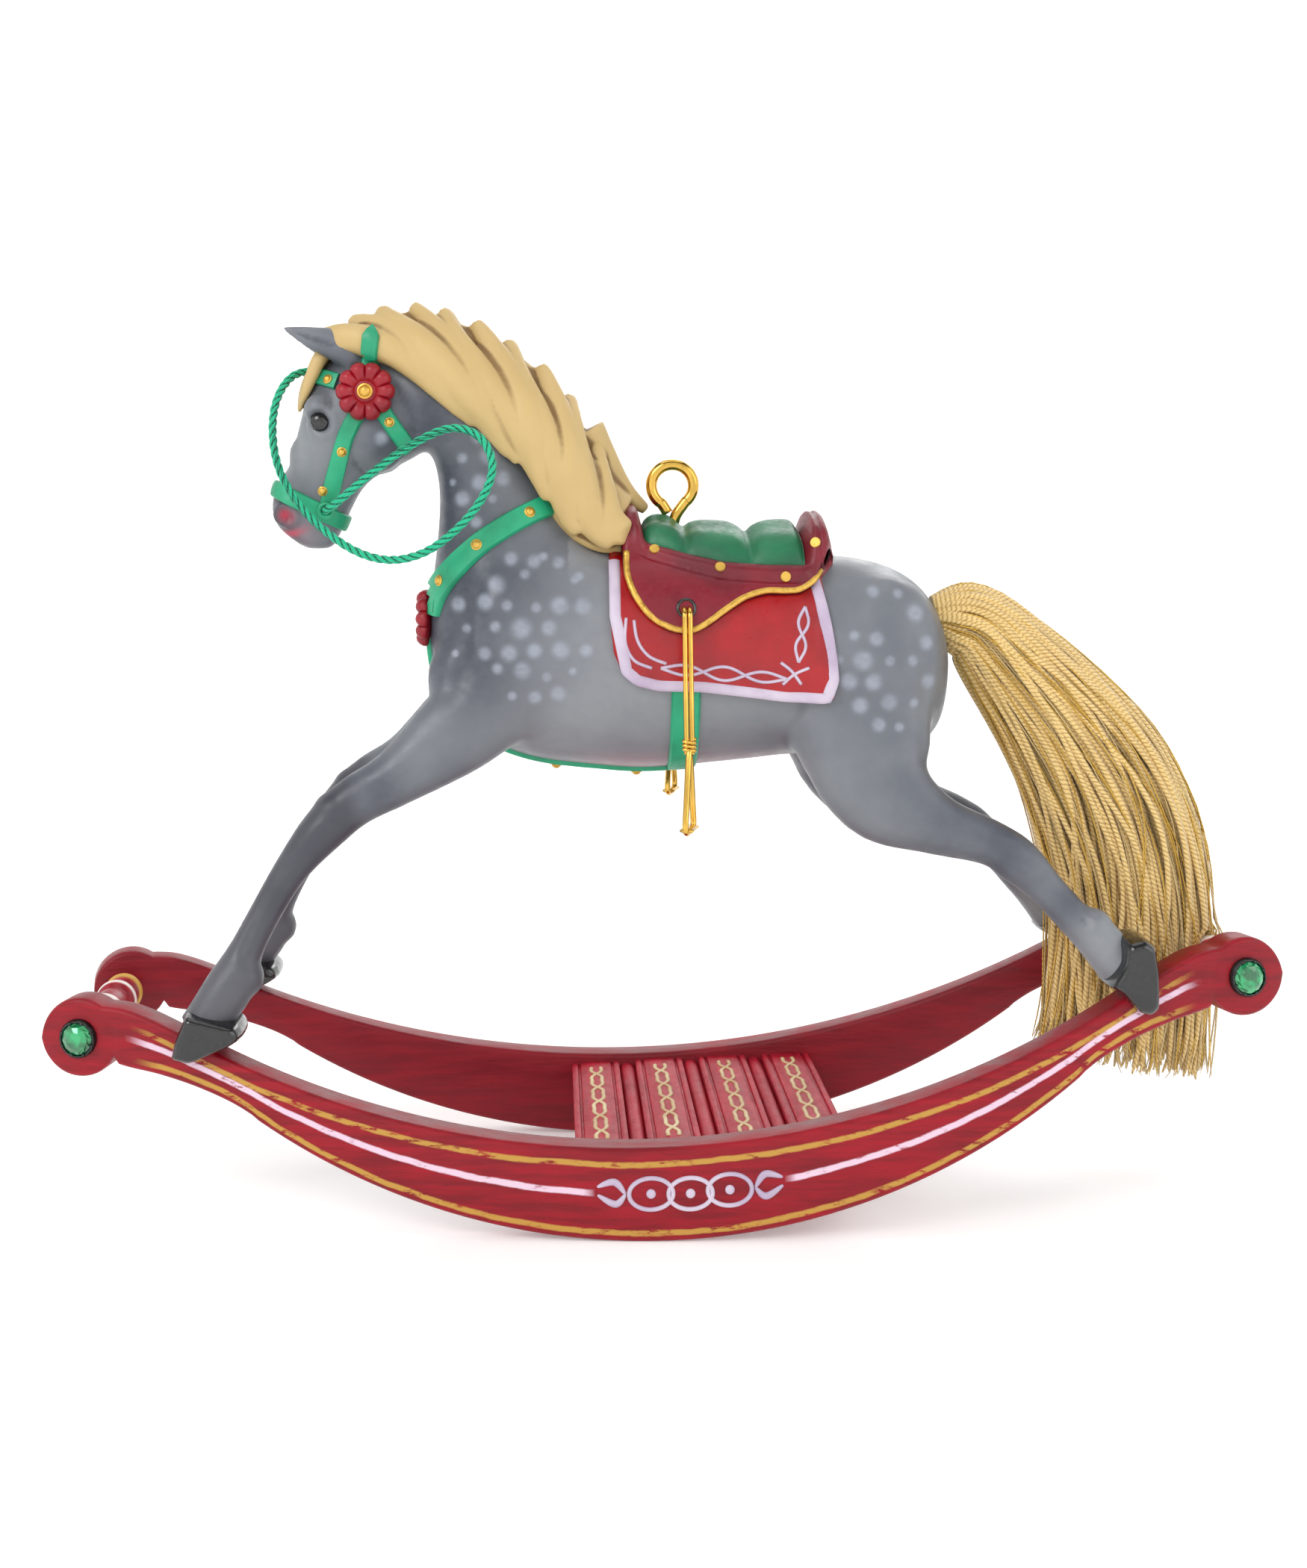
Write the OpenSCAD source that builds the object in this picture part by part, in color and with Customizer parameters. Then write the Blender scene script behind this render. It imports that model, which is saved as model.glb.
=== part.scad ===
// Rocking horse keepsake: a dappled horse with saddle and bridle on a pair of bowed rockers.
// +X towards the tail, +Y away from the near side, +Z up. The origin is on the ground under the middle.

/* [Rockers] */
// Radius of the rocking edge
rocker_radius = 62; // [60:1:66]
// Radius of the top edge at the middle
rocker_top_radius = 88; // [84:1:92]
// Height of each rocker at its middle
rocker_depth = 8.1; // [7.5:0.1:8.5]
// Thickness of each rocker
rocker_thickness = 3; // [2.6:0.1:3.2]
// Distance of each rocker from the middle plane, at its middle
rocker_gauge = 14.5; // [14:0.1:15]
// Radius of the bow that brings the rocker ends together
bow_radius = 250; // [240:5:270]
// Distance from the middle to each rocker's end disc
end_reach = 51.7; // [51:0.1:52]
// Radius of the end discs
end_radius = 3.5; // [3.2:0.1:3.6]
// How far the horse leans head down at rest, in degrees
head_down = 3; // [2.5:0.1:3.5]

/* [Horse] */
// Half of the body's width
body_half_width = 8.2; // [7.8:0.1:8.4]
// Wall thickness of the moulded body halves
wall = 1.5; // [1.2:0.1:2]
// Glue gap under whatever is fixed on the body
glue = 0.1; // [0.1:0.01:0.12]

/* [Tack] */
// Thickness of the straps
strap_thickness = 0.45; // [0.4:0.05:0.5]
// Width of the bridle straps
bridle_width = 1.6; // [1.4:0.1:1.8]
// Thickness of the blanket
blanket_thickness = 0.5; // [0.4:0.05:0.6]
// Thickness of the saddle flaps
flap_thickness = 0.8; // [0.7:0.05:0.9]
// Radius of the bridle and chest rosettes
rosette_radius = 2.75; // [2.5:0.05:2.8]
// Diameter of the rein cord
cord_diameter = 0.8; // [0.7:0.05:0.85]

/* [Metalwork] */
// Wire diameter of the hanging eye
eye_wire = 1.05; // [1:0.05:1.1]
// Middle radius of the hanging eye's loop
eye_radius = 1.98; // [1.9:0.01:2.05]
// Radius of the stirrup's pivot pin
stirrup_pin_radius = 0.6; // [0.5:0.05:0.65]
// Radial clearance of that pin in the saddle flap
pin_clearance = 0.05; // [0.03:0.01:0.08]
// Diameter of the stirrup wire
stirrup_wire = 0.45; // [0.4:0.05:0.5]
// Radius of the coloured stones on the rocker ends
stone_radius = 1.45; // [1.3:0.05:1.5]

/* [Hidden] */
$fn = 48;

// ---- places ----
arc_x = -2;                                   // middle of the rocking arc
arc_z = rocker_radius;
top_z = rocker_depth + rocker_top_radius;     // centre of the top edge's arc, level
disc_z = 18.8;                                // height of the end discs, level
disc_turn = asin(end_reach / bow_radius);     // how far the bow turns a rocker end
saddle_hole = [2.5, 54.3];
eye_place = [1.8, 65.5];
rosette_place = [-26.8, 74.1];
bit_place = [-30.6, 63.1];

// ---- rings round the trunk, from rump to muzzle ----
// Each is [x, z of its back edge, x, z of its belly edge, half width].
bw = body_half_width;
trunk_rings = [
    [27.6, 50.6, 27.6, 47, 1.8], [26.4, 54.2, 26.4, 43, bw - 3.6], [24, 57, 24, 40.6, bw - 1.2],
    [20, 58.6, 20, 39.9, bw], [14, 59.2, 14, 40.2, bw], [8, 59.3, 8, 39.6, bw - 0.1], [0, 59.6, 0, 38.9, bw],
    [-5, 60, -5, 39.1, bw], [-6.6, 61.2, -12, 40, bw - 0.2], [-7.8, 62.8, -17.4, 42.6, bw - 1],
    [-9, 64.8, -20.6, 47.6, bw - 2], [-10.3, 67.2, -21.1, 53.6, 5.4], [-11.9, 69.9, -20.5, 59.4, 4.8],
    [-13.9, 72.7, -20.2, 64.8, 4.3], [-16.7, 75.5, -21.1, 68.6, 4], [-20.4, 77.9, -22.9, 68, 3.9],
    [-25, 79.2, -24.7, 67, 3.9], [-29.2, 78.4, -26.3, 66.3, 3.9], [-32.2, 75.2, -27.6, 65, 3.8],
    [-33.4, 71.3, -28.6, 63.1, 3.4], [-34.3, 67.6, -29.6, 60.9, 3], [-35.6, 65.6, -30.7, 59.8, 2.7],
    [-36, 63.3, -32.2, 59.5, 2.4], [-35.4, 61.6, -33.3, 59.9, 1.6]
];
torso_rings = 8;                               // the rings that stand upright
// ---- sections along a line: [x, z, half depth, half width, y of the middle] ----
front_leg_line = [
    [-12.5, 47, 4.6, 2.4, -3.6], [-17.6, 43, 4.2, 2.9, -5.4], [-23.5, 38.8, 2.7, 2.4, -6.9],
    [-27.4, 36.8, 2.5, 2.2, -7.7], [-30.2, 34.5, 2.3, 2.2, -8.3], [-32.9, 31, 1.7, 1.7, -8.9],
    [-35, 27.5, 1.6, 1.6, -9.5], [-36.8, 24, 1.7, 1.7, -10.2], [-38.1, 21, 2.4, 2.1, -10.8],
    [-39.6, 18.4, 2.3, 2.2, -11.3]
];
hind_leg_line = [
    [18.8, 47, 5.4, 2.6, -3.8], [19.2, 42, 6.3, 3.2, -5.4], [20.9, 37.4, 5, 3, -6.6],
    [25, 34.8, 3, 2.6, -7.6], [29.8, 33.4, 2.3, 2.2, -8.4], [32.3, 31.7, 2.2, 2.1, -8.8],
    [34.8, 29.1, 1.8, 1.7, -9.3], [37, 26.7, 1.9, 1.8, -9.9], [39, 24.9, 2.1, 2, -10.5],
    [40.8, 22.8, 2.1, 2.1, -11.1]
];
tail_line = [
    [27.9, 52.9, 2.2, 1.9, 0], [30, 52.6, 3.3, 2.6, 0], [33.5, 49.3, 4.8, 3.4, 0],
    [38, 43.8, 6, 4, 0], [41.6, 38.2, 7.2, 4.4, 0], [43.6, 32.4, 7.6, 4.8, 0],
    [44.4, 26, 7.4, 5, 0], [44.4, 20, 7.4, 5, 0], [44.2, 14, 7, 4.6, 0], [44.2, 12, 5, 3.2, 0]
];
forelock_line = [
    [-31, 80.6, 0.7, 1.3, 0], [-32.2, 80, 1, 1.5, 0], [-34.2, 78.2, 0.8, 1.4, -0.3],
    [-36, 76, 0.5, 1.1, -0.9], [-36.4, 74.4, 0.2, 0.5, -1.3]
];

// ---- the rein's route, from the near bit hole round the neck and the face to the far bit hole ----
rein_points = [
    [-30.6, -1.3, 63.1], [-30.6, -3.2, 63.1], [-29.2, -4.8, 64], [-26.3, -5.4, 66.4], [-22.6, -6, 69],
    [-18.9, -6.4, 70.6], [-16.2, -6.8, 69.8], [-15, -7.2, 67.4], [-15.6, -7.6, 64.8], [-17.6, -7.8, 62],
    [-20.6, -7, 59.6], [-23.8, -5.8, 58.6], [-27, -5, 59.1], [-30.2, -4.6, 61], [-33, -4.6, 63.8],
    [-34.8, -4.2, 67], [-35.5, -3.4, 70.4], [-35.3, -1.8, 73.6], [-34.1, 0.4, 75.9], [-32.2, 2.8, 76.3],
    [-30.9, 4.6, 74], [-30.6, 5.2, 70.6], [-30.7, 5.2, 67], [-30.7, 4.4, 64], [-30.6, 3.2, 63.1],
    [-30.6, 1.3, 63.1]
];

// ---- swept shapes ----
function unit(v) = v / norm(v);
function clamp(i, n) = min(max(i, 0), n - 1);
function mix(a, b, t) = a + (b - a) * t;

// One ring of a loft: the half depth lies square to the line, the half width along Y.
function loft_ring(line, i, grow, sides) =
    let(
        a = line[clamp(i - 1, len(line))],
        b = line[clamp(i + 1, len(line))],
        run = unit([b[0] - a[0], b[1] - a[1]])
    )
    [for (k = [0:sides - 1]) ring_point(line[i], run, 360 * k / sides, grow, grow)];

function ring_point(s, run, t, grow_depth, grow_width) = [
    s[0] - run[1] * (s[2] + grow_depth) * cos(t),
    s[4] + (s[3] + grow_width) * sin(t),
    s[1] + run[0] * (s[2] + grow_depth) * cos(t)
];

// A closed skin over rings that all have the same number of points.
module skin(rings) {
    n = len(rings[0]);
    last = len(rings) - 1;
    points = [for (r = rings) each r];
    sides = [for (i = [0:last - 1], k = [0:n - 1])
        let(a = i * n + k, b = i * n + (k + 1) % n)
        each [[a, b, b + n], [a, b + n, a + n]]
    ];
    start_cap = [for (k = [1:n - 2]) [0, k + 1, k]];
    end_cap = [for (k = [1:n - 2]) [last * n, last * n + k, last * n + k + 1]];
    polyhedron(points, concat(sides, start_cap, end_cap), convexity = 6);
}

module loft(line, grow = 0, sides = 20) {
    skin([for (i = [0:len(line) - 1]) loft_ring(line, i, grow, sides)]);
}

// A closed plate between two grids of points, the first on its outer face.
module slab(outer, inner) {
    rows = len(outer);
    cols = len(outer[0]);
    below = rows * cols;
    points = concat([for (r = outer) each r], [for (r = inner) each r]);
    faces = [for (i = [0:rows - 2], k = [0:cols - 2])
        let(a = i * cols + k, b = a + 1, d = a + cols, c = d + 1)
        each [[a, b, c], [a, c, d], [below + a, below + c, below + b], [below + a, below + d, below + c]]
    ];
    row_walls = [for (k = [0:cols - 2])
        let(a = k, b = k + 1, c = (rows - 1) * cols + k, d = c + 1)
        each [[a, below + a, below + b], [a, below + b, b], [c, d, below + d], [c, below + d, below + c]]
    ];
    col_walls = [for (i = [0:rows - 2])
        let(a = i * cols, b = a + cols, c = a + cols - 1, d = c + cols)
        each [[a, b, below + b], [a, below + b, below + a], [c, below + c, below + d], [c, below + d, d]]
    ];
    polyhedron(points, concat(faces, row_walls, col_walls), convexity = 8);
}

// A point on a smooth curve through four route points, t from 0 to 1 between b and c.
function spline(a, b, c, d, t) =
    0.5 * (2 * b + (c - a) * t + (2 * a - 5 * b + 4 * c - d) * t * t + (3 * b - a - 3 * c + d) * t * t * t);

function smooth_route(p, steps) = concat(
    [for (i = [0:len(p) - 2], s = [0:steps - 1])
        spline(p[clamp(i - 1, len(p))], p[i], p[i + 1], p[clamp(i + 2, len(p))], s / steps)],
    [p[len(p) - 1]]
);

// The frame is carried along the route, so that the tube doesn't twist.
function carry(side, run) = unit(side - (side * run) * run);
function sides_along(runs, i = 0, side = [1, 0, 0], done = []) =
    i == len(runs) ? done :
    let(s = carry(side, runs[i])) sides_along(runs, i + 1, s, concat(done, [s]));

module tube(route, radius, sides = 8) {
    n = len(route);
    runs = [for (i = [0:n - 1]) unit(route[clamp(i + 1, n)] - route[clamp(i - 1, n)])];
    across = sides_along(runs);
    skin([for (i = [0:n - 1])
        let(u = across[i], v = cross(runs[i], u))
        [for (k = [0:sides - 1])
            let(t = -360 * k / sides)
            route[i] + radius * (cos(t) * u + sin(t) * v)]
    ]);
}

module ball(p, r, facets = 12) {
    translate(p) sphere(r, $fn = facets);
}

module rod(p, q, r) {
    v = q - p;
    translate(p)
        rotate([0, acos(v[2] / norm(v)), atan2(v[1], v[0])])
        cylinder(h = norm(v), r = r, $fn = 24);
}

// A bar along Y, from y0 to y1.
module cross_bar(x, z, r, y0, y1, facets = 48) {
    translate([x, y1, z]) rotate([90, 0, 0]) cylinder(h = y1 - y0, r = r, $fn = facets);
}

module both_sides() {
    children();
    mirror([0, 1, 0]) children();
}

// ---- the trunk's surface ----
// A point t degrees round a ring from its back edge, proud of the ring by grow.
function on_ring(r, t, grow) =
    let(
        back = [r[0], r[1]],
        belly = [r[2], r[3]],
        middle = (back + belly) / 2,
        half = norm(back - belly) / 2,
        p = middle + unit(back - belly) * (half + grow) * cos(t)
    )
    [p[0], (r[4] + grow) * sin(t), p[1]];

function ring_at(s) =
    let(i = min(floor(s), len(trunk_rings) - 2))
    mix(trunk_rings[i], trunk_rings[i + 1], s - i);

// Half width of the trunk at a point of the side view, from the finely spaced ring that passes nearest.
function ring_offset(r, x, z) =
    let(along = unit([r[0] - r[2], r[1] - r[3]])) abs((x - r[2]) * along[1] - (z - r[3]) * along[0]);

function ring_width(r, x, z, grow) =
    let(
        middle = [r[0] + r[2], r[1] + r[3]] / 2,
        half = norm([r[0] - r[2], r[1] - r[3]]) / 2,
        q = 1 - pow(([x, z] - middle) * unit([r[0] - r[2], r[1] - r[3]]) / (half + grow), 2)
    )
    q > 0 ? (r[4] + grow) * sqrt(q) : 0;

ring_steps = 6;
fine_rings = [for (i = [0:(len(trunk_rings) - 1) * ring_steps]) ring_at(i / ring_steps)];

function trunk_width(x, z, grow) =
    let(
        hits = [for (r = fine_rings)
            let(w = ring_width(r, x, z, grow)) if (w > 0) [ring_offset(r, x, z), w]],
        least = min([for (h = hits) h[0]])
    )
    len(hits) == 0 ? 0 : [for (h = hits) if (h[0] == least) h[1]][0];

// A point of the torso, t degrees round from its top.
function torso_value(x, i) =
    lookup(x, [for (k = [0:torso_rings - 1]) [trunk_rings[k][0], trunk_rings[k][i]]]);
function torso_middle(x) = (torso_value(x, 1) + torso_value(x, 3)) / 2;
function torso_depth(x) = (torso_value(x, 1) - torso_value(x, 3)) / 2;
function on_torso(x, t, grow) = [
    x, (torso_value(x, 4) + grow) * sin(t), torso_middle(x) + (torso_depth(x) + grow) * cos(t)
];
// The turn at which the torso's side is at height z.
function torso_turn(x, z, grow) = acos(max(-1, min(1, (z - torso_middle(x)) / (torso_depth(x) + grow))));

// A strap that follows the near side of the trunk along a path in the side view, lifted off its surface.
module ribbon(path, width, lift = glue) {
    cols = 2;
    samples = [for (i = [0:len(path) - 2])
        let(steps = ceil(norm(path[i + 1] - path[i]) / 1.2))
        each [for (s = [0:steps - 1]) mix(path[i], path[i + 1], s / steps)]
    ];
    p = concat(samples, [path[len(path) - 1]]);
    n = len(p);
    grid = [for (i = [0:n - 1])
        let(run = unit(p[clamp(i + 1, n)] - p[clamp(i - 1, n)]))
        [for (k = [0:cols]) p[i] + (k / cols - 0.5) * width * [-run[1], run[0]]]
    ];
    slab(
        [for (r = grid) [for (q = r) [q[0], -trunk_width(q[0], q[1], lift + strap_thickness), q[1]]]],
        [for (r = grid) [for (q = r) [q[0], -trunk_width(q[0], q[1], lift), q[1]]]]
    );
}

// ---- the rockers' frame ----
module leaning() {
    translate([arc_x, 0, arc_z]) rotate([0, -head_down, 0]) translate([0, 0, -arc_z]) children();
}

// Places children on a rocker's outer face at its end disc, with +Z outwards. side is -1 near, 1 far;
// end is -1 front, 1 rear.
module at_disc(side, end, inset = 0) {
    leaning()
        translate([0, side * (rocker_gauge - bow_radius), 0])
        rotate([0, 0, -side * end * disc_turn])
        translate([0, side * (bow_radius + rocker_thickness / 2 - inset), disc_z])
        rotate([-side * 90, 0, 0])
        children();
}

// The rocking edge, then the neck, the end disc and the top edge, for one half of a rocker.
neck_reach = 37.5;
function rocking_edge(x) = rocker_radius - sqrt(pow(rocker_radius, 2) - x * x);
function top_edge(x) = top_z - sqrt(pow(rocker_top_radius, 2) - x * x);

rocker_half = concat(
    [for (x = [0:2.5:neck_reach]) [x, rocking_edge(x)]],
    [[44.4, 15.6]],
    [for (a = [230:20:470]) [end_reach + end_radius * cos(a), disc_z + end_radius * sin(a)]],
    [[47.6, 21.3]],
    [for (x = [neck_reach + 5:-5:5]) [x, top_edge(x)]]
);

module rocker_side() {
    left = [for (i = [len(rocker_half) - 1:-1:1]) [-rocker_half[i][0], rocker_half[i][1]]];
    polygon(concat(rocker_half, [[0, rocker_depth]], left));
}

module rocker(side) {
    leaning()
        intersection() {
            translate([0, 20, 0]) rotate([90, 0, 0]) linear_extrude(40) rocker_side();
            translate([0, side * (rocker_gauge - bow_radius), -1])
                difference() {
                    cylinder(h = 30, r = bow_radius + rocker_thickness / 2, $fn = 180);
                    translate([0, 0, -1]) cylinder(h = 32, r = bow_radius - rocker_thickness / 2, $fn = 180);
                }
            translate([-60, side > 0 ? 0 : -30, -2]) cube([120, 30, 40]);
        }
}

socket_radius = 1.1;
spindle_reach = 8;

module rocker_near() color("firebrick") difference() {
    rocker(-1);
    for (end = [-1, 1]) spindle_tenons(end);
}

module rocker_far() color("firebrick") difference() {
    rocker(1);
    for (end = [-1, 1]) spindle_tenons(end);
}

// ---- turned end spindles ----
module spindle_axis(end) {
    leaning() translate([end * end_reach, 0, disc_z]) rotate([90, 0, 0]) children();
}

module spindle_tenons(end) {
    spindle_axis(end) cylinder(h = 2 * spindle_reach, r = socket_radius, center = true);
}

module spindle(end) {
    half = 6.3;
    spindle_axis(end) {
        cylinder(h = 2 * spindle_reach, r = socket_radius, center = true);
        rotate_extrude() polygon([
            [0, -half], [1.5, -half], [1.8, -half + 0.5], [1.8, -half + 1], [1.2, -half + 1.5], [1.45, -3.4],
            [1.9, -3], [1.9, -2.2], [1.4, -1.8], [1.7, 0], [1.4, 1.8], [1.9, 2.2], [1.9, 3], [1.45, 3.4],
            [1.2, half - 1.5], [1.8, half - 1], [1.8, half - 0.5], [1.5, half], [0, half]
        ]);
    }
}

module spindle_front() color("firebrick") spindle(-1);
module spindle_rear() color("firebrick") spindle(1);

// ---- deck between the rockers ----
slat_width = 4.8;
slat_pitch = 6.4;
slat_top = 7.5;
slat_depth = 2.2;
deck_x = 3.6;                                  // middle of the deck along the rockers, level
deck_half = rocker_gauge - rocker_thickness / 2;

module deck_block(x0, x1, z0, z1) {
    leaning() intersection() {
        translate([x0, -20, z0]) cube([x1 - x0, 40, z1 - z0]);
        translate([0, bow_radius - deck_half, 0]) cylinder(h = 30, r = bow_radius, $fn = 180);
        translate([0, deck_half - bow_radius, 0]) cylinder(h = 30, r = bow_radius, $fn = 180);
    }
}

module deck_slat(i) {
    middle = deck_x + (i - 1.5) * slat_pitch;
    color("indianred") difference() {
        deck_block(middle - slat_width / 2, middle + slat_width / 2, slat_top - slat_depth, slat_top);
        for (edge = [-1, 1])
            leaning() translate([middle + edge * (slat_width / 2 - 0.7) - 0.15, -20, slat_top - 0.25])
                cube([0.3, 40, 1]);
    }
}

module deck_slat_1() deck_slat(0);
module deck_slat_2() deck_slat(1);
module deck_slat_3() deck_slat(2);
module deck_slat_4() deck_slat(3);

bead_radius = (slat_pitch - slat_width) / 2 - 0.02;

module deck_beads() color("indianred") for (i = [0:2])
    leaning() intersection() {
        cross_bar(deck_x + (i - 1) * slat_pitch, slat_top - 1.1, bead_radius, -20, 20);
        translate([0, bow_radius - deck_half, 0]) cylinder(h = 30, r = bow_radius, $fn = 180);
        translate([0, deck_half - bow_radius, 0]) cylinder(h = 30, r = bow_radius, $fn = 180);
    }

// ---- coloured stones in their cups ----
cup_height = 0.55;
cup_wall = 0.25;

module stone_cup() difference() {
    cylinder(h = cup_height, r = stone_radius + cup_wall);
    translate([0, 0, 0.15]) cylinder(h = cup_height, r = stone_radius + 0.02);
}

module stone() {
    translate([0, 0, 0.16]) cylinder(h = 0.35, r = stone_radius);
    translate([0, 0, 0.5]) cylinder(h = 0.6, r1 = stone_radius, r2 = 0.75, $fn = 10);
}

module stone_cups() color("dimgray") for (side = [-1, 1], end = [-1, 1])
    at_disc(side, end, -0.01) stone_cup();
module stone_near_front() color("seagreen") at_disc(-1, -1, -0.01) stone();
module stone_near_rear() color("seagreen") at_disc(-1, 1, -0.01) stone();
module stone_far_front() color("seagreen") at_disc(1, -1, -0.01) stone();
module stone_far_rear() color("seagreen") at_disc(1, 1, -0.01) stone();

// ---- the horse ----
half_cols = 12;

// The near half of the trunk.
module trunk_half(rings, grow = 0) {
    skin([for (r = rings) [for (k = [0:half_cols]) on_ring(r, -180 * k / half_cols, grow)]]);
}

module ear() hull() {
    ball([-28.6, -1.9, 76.6], 1.5);
    ball([-30.8, -2.7, 78.7], 1.1);
    ball([-33.8, -3.3, 79.7], 0.35);
}

module bit_socket() cross_bar(bit_place[0], bit_place[1], cord_diameter / 2 + 0.06, -9, -1.2, 24);

module eye_screw_room() translate([eye_place[0], 0, 48])
    cylinder(h = 20, r = eye_wire / 2 + 0.02, $fn = 24);

// The near half, as a moulded shell.
module body_half() difference() {
    union() {
        trunk_half(trunk_rings);
        ear();
        loft(front_leg_line, 0, 12);
        loft(hind_leg_line, 0, 12);
    }
    loft([for (x = [-13, -8, 0, 8, 16, 22])
        [x, torso_middle(x), torso_depth(x) - wall - 1, torso_value(x, 4) - wall - 1, 0]], 0, 14);
    cross_bar(saddle_hole[0], saddle_hole[1], 1.4, -30, 30);
    bit_socket();
    eye_screw_room();
    hoof_cut(front_hoof);
    hoof_cut(hind_hoof);
    eye_cut();
}

module body_near_half() color("slategray") body_half();
module body_far_half() color("slategray") mirror([0, 1, 0]) body_half();

// ---- hooves that straddle the rockers ----
front_hoof = [[-43.6, 14.6], [-41.6, 18.9], [-37.2, 17.3], [-37.6, 14.6], [-40.5, 13.6]];
hind_hoof = [[39.4, 19.6], [39.2, 21.2], [42.4, 24.9], [44, 24.2], [44.4, 19.2], [42, 17.2]];
hoof_y = 11.3;
hoof_half = 3.1;

module hoof_block(outline, side, grow = 0) {
    translate([0, side * hoof_y + hoof_half + grow, 0]) rotate([90, 0, 0])
        linear_extrude(2 * (hoof_half + grow)) offset(delta = grow) polygon(outline);
}

module hoof_cut(outline) hoof_block(outline, -1, glue / 2);

module hoof(outline, side) color("black") difference() {
    hoof_block(outline, side);
    rocker(side);
}

module hoof_front_near() hoof(front_hoof, -1);
module hoof_front_far() hoof(front_hoof, 1);
module hoof_hind_near() hoof(hind_hoof, -1);
module hoof_hind_far() hoof(hind_hoof, 1);

// ---- eyes ----
module eye_cut() translate([-31.2, -3.1, 71.4]) sphere(1.12);

module eye(side) color("black") translate([-31.2, side * 3.1, 71.4]) sphere(1.08, $fn = 32);
module eye_near() eye(-1);
module eye_far() eye(1);

// ---- mane and forelock ----
// The rings it lies on, how far it reaches round each and how proud it stands there.
mane_first = 9;
mane_reach = [20, 36, 48, 56, 64, 68, 66, 56];
mane_height = [5.4, 5.6, 5.4, 5.2, 5, 4.8, 4.4, 2.6];
mane_rows = len(mane_reach);
mane_cols = 14;

function mane_point(i, k, outer) =
    let(
        u = 1 - 2 * k / mane_cols,
        ridge = 0.35 * cos(u * 1080),
        rise = outer ? 1.2 + (mane_height[i] + ridge) * pow(cos(u * 80), 2) : 0
    )
    on_ring(trunk_rings[mane_first + i], u * mane_reach[i], glue + rise);

module mane() color("burlywood") slab(
    [for (i = [0:mane_rows - 1]) [for (k = [0:mane_cols]) mane_point(i, k, true)]],
    [for (i = [0:mane_rows - 1]) [for (k = [0:mane_cols]) mane_point(i, k, false)]]
);

module forelock() color("burlywood") loft(forelock_line, 0, 12);

// ---- straps ----
bridle_paths = [
    [[-26.7, 76], [-26.5, 78.3]],
    [[-28.7, 74.7], [-30.6, 75.3]],
    [[-27.5, 72.3], [-29.2, 68.8], [-30, 66.4]],
    [[-25.5, 72.7], [-24, 70.6]]
];
noseband_path = [[-34.4, 65], [-32.3, 63.9], [-30.1, 62.8]];

module bridle() color("seagreen") {
    both_sides() for (path = bridle_paths) ribbon(path, bridle_width);
    difference() {
        both_sides() ribbon(noseband_path, bridle_width);
        cross_bar(bit_place[0], bit_place[1], cord_diameter / 2 + 0.1, -9, 9);
    }
}

collar_path = [[-10.9, 63.2], [-13.6, 61.8], [-16.4, 59.9], [-19, 57.4], [-20.2, 55.2]];

collar_width = 2;
collar_lift = 0.35;                            // it bridges the hollow between neck and shoulder

module breast_collar() color("seagreen") both_sides() ribbon(collar_path, collar_width, collar_lift);

belly_rings = [9.9, 9.5, 9, 8.5, 8, 7.6, 7.2, 7, 6.5, 6.1];

module belly_strap() color("seagreen") slab(
    [for (r = belly_rings) [for (t = [173:7:187]) on_ring(ring_at(r), t, glue + strap_thickness)]],
    [for (r = belly_rings) [for (t = [173:7:187]) on_ring(ring_at(r), t, glue)]]
);

girth_span = [1.1, 3.8];

module girth() color("seagreen") {
    first = torso_turn(girth_span[0], 46.2, 0);
    turns = [for (k = [0:18]) mix(first, 360 - first, k / 18)];
    slab(
        [for (x = girth_span) [for (t = turns) on_torso(x, t, glue + strap_thickness)]],
        [for (x = girth_span) [for (t = turns) on_torso(x, t, glue)]]
    );
}

// ---- studs: a domed head on a short shank, along +Z ----
stud_radius = 0.5;

module stud() {
    translate([0, 0, -0.3]) cylinder(h = 0.35, r = 0.25, $fn = 24);
    translate([0, 0, 0.02]) rotate_extrude($fn = 24) intersection() {
        translate([0, -stud_radius * 0.5]) circle(stud_radius * 1.1, $fn = 32);
        square(stud_radius);
    }
}

// A stud that stands on the near and the far side at [x, z].
module side_studs(places, grow) for (side = [-1, 1], p = places) {
    slope = (trunk_width(p[0], p[1] + 0.1, grow) - trunk_width(p[0], p[1] - 0.1, grow)) / 0.2;
    translate([p[0], side * trunk_width(p[0], p[1], grow), p[1]])
        rotate([-side * (90 + atan(slope)), 0, 0]) stud();
}

module bridle_studs() color("gold")
    side_studs([[-29.3, 68.6], [-24.6, 71.4], [-29.9, 75.1]], glue + strap_thickness);
module collar_studs() color("gold")
    side_studs([[-12, 62.7], [-16.4, 59.9], [-19.3, 56.9]], collar_lift + strap_thickness);
module strap_studs() color("gold") for (s = [9.3, 8.1, 6.7]) {
    r = ring_at(s);
    translate(on_ring(r, 180, glue + strap_thickness))
        rotate([0, atan2(r[2] - r[0], r[3] - r[1]), 0]) stud();
}

// ---- rosettes: petals round a domed middle, along +Z ----
module rosette() {
    petals = 10;
    difference() {
        union() {
            cylinder(h = 0.7, r = rosette_radius - 0.7);
            for (k = [0:petals - 1]) rotate(k * 360 / petals)
                translate([rosette_radius - 0.75, 0, 0]) cylinder(h = 0.7, r = 0.75, $fn = 24);
        }
        translate([0, 0, 0.5]) rotate_extrude() translate([1.25, 0]) square([0.25, 1]);
    }
    translate([0, 0, 0.69]) cylinder(h = 0.35, r1 = 0.75, r2 = 0.5, $fn = 24);
}

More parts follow.
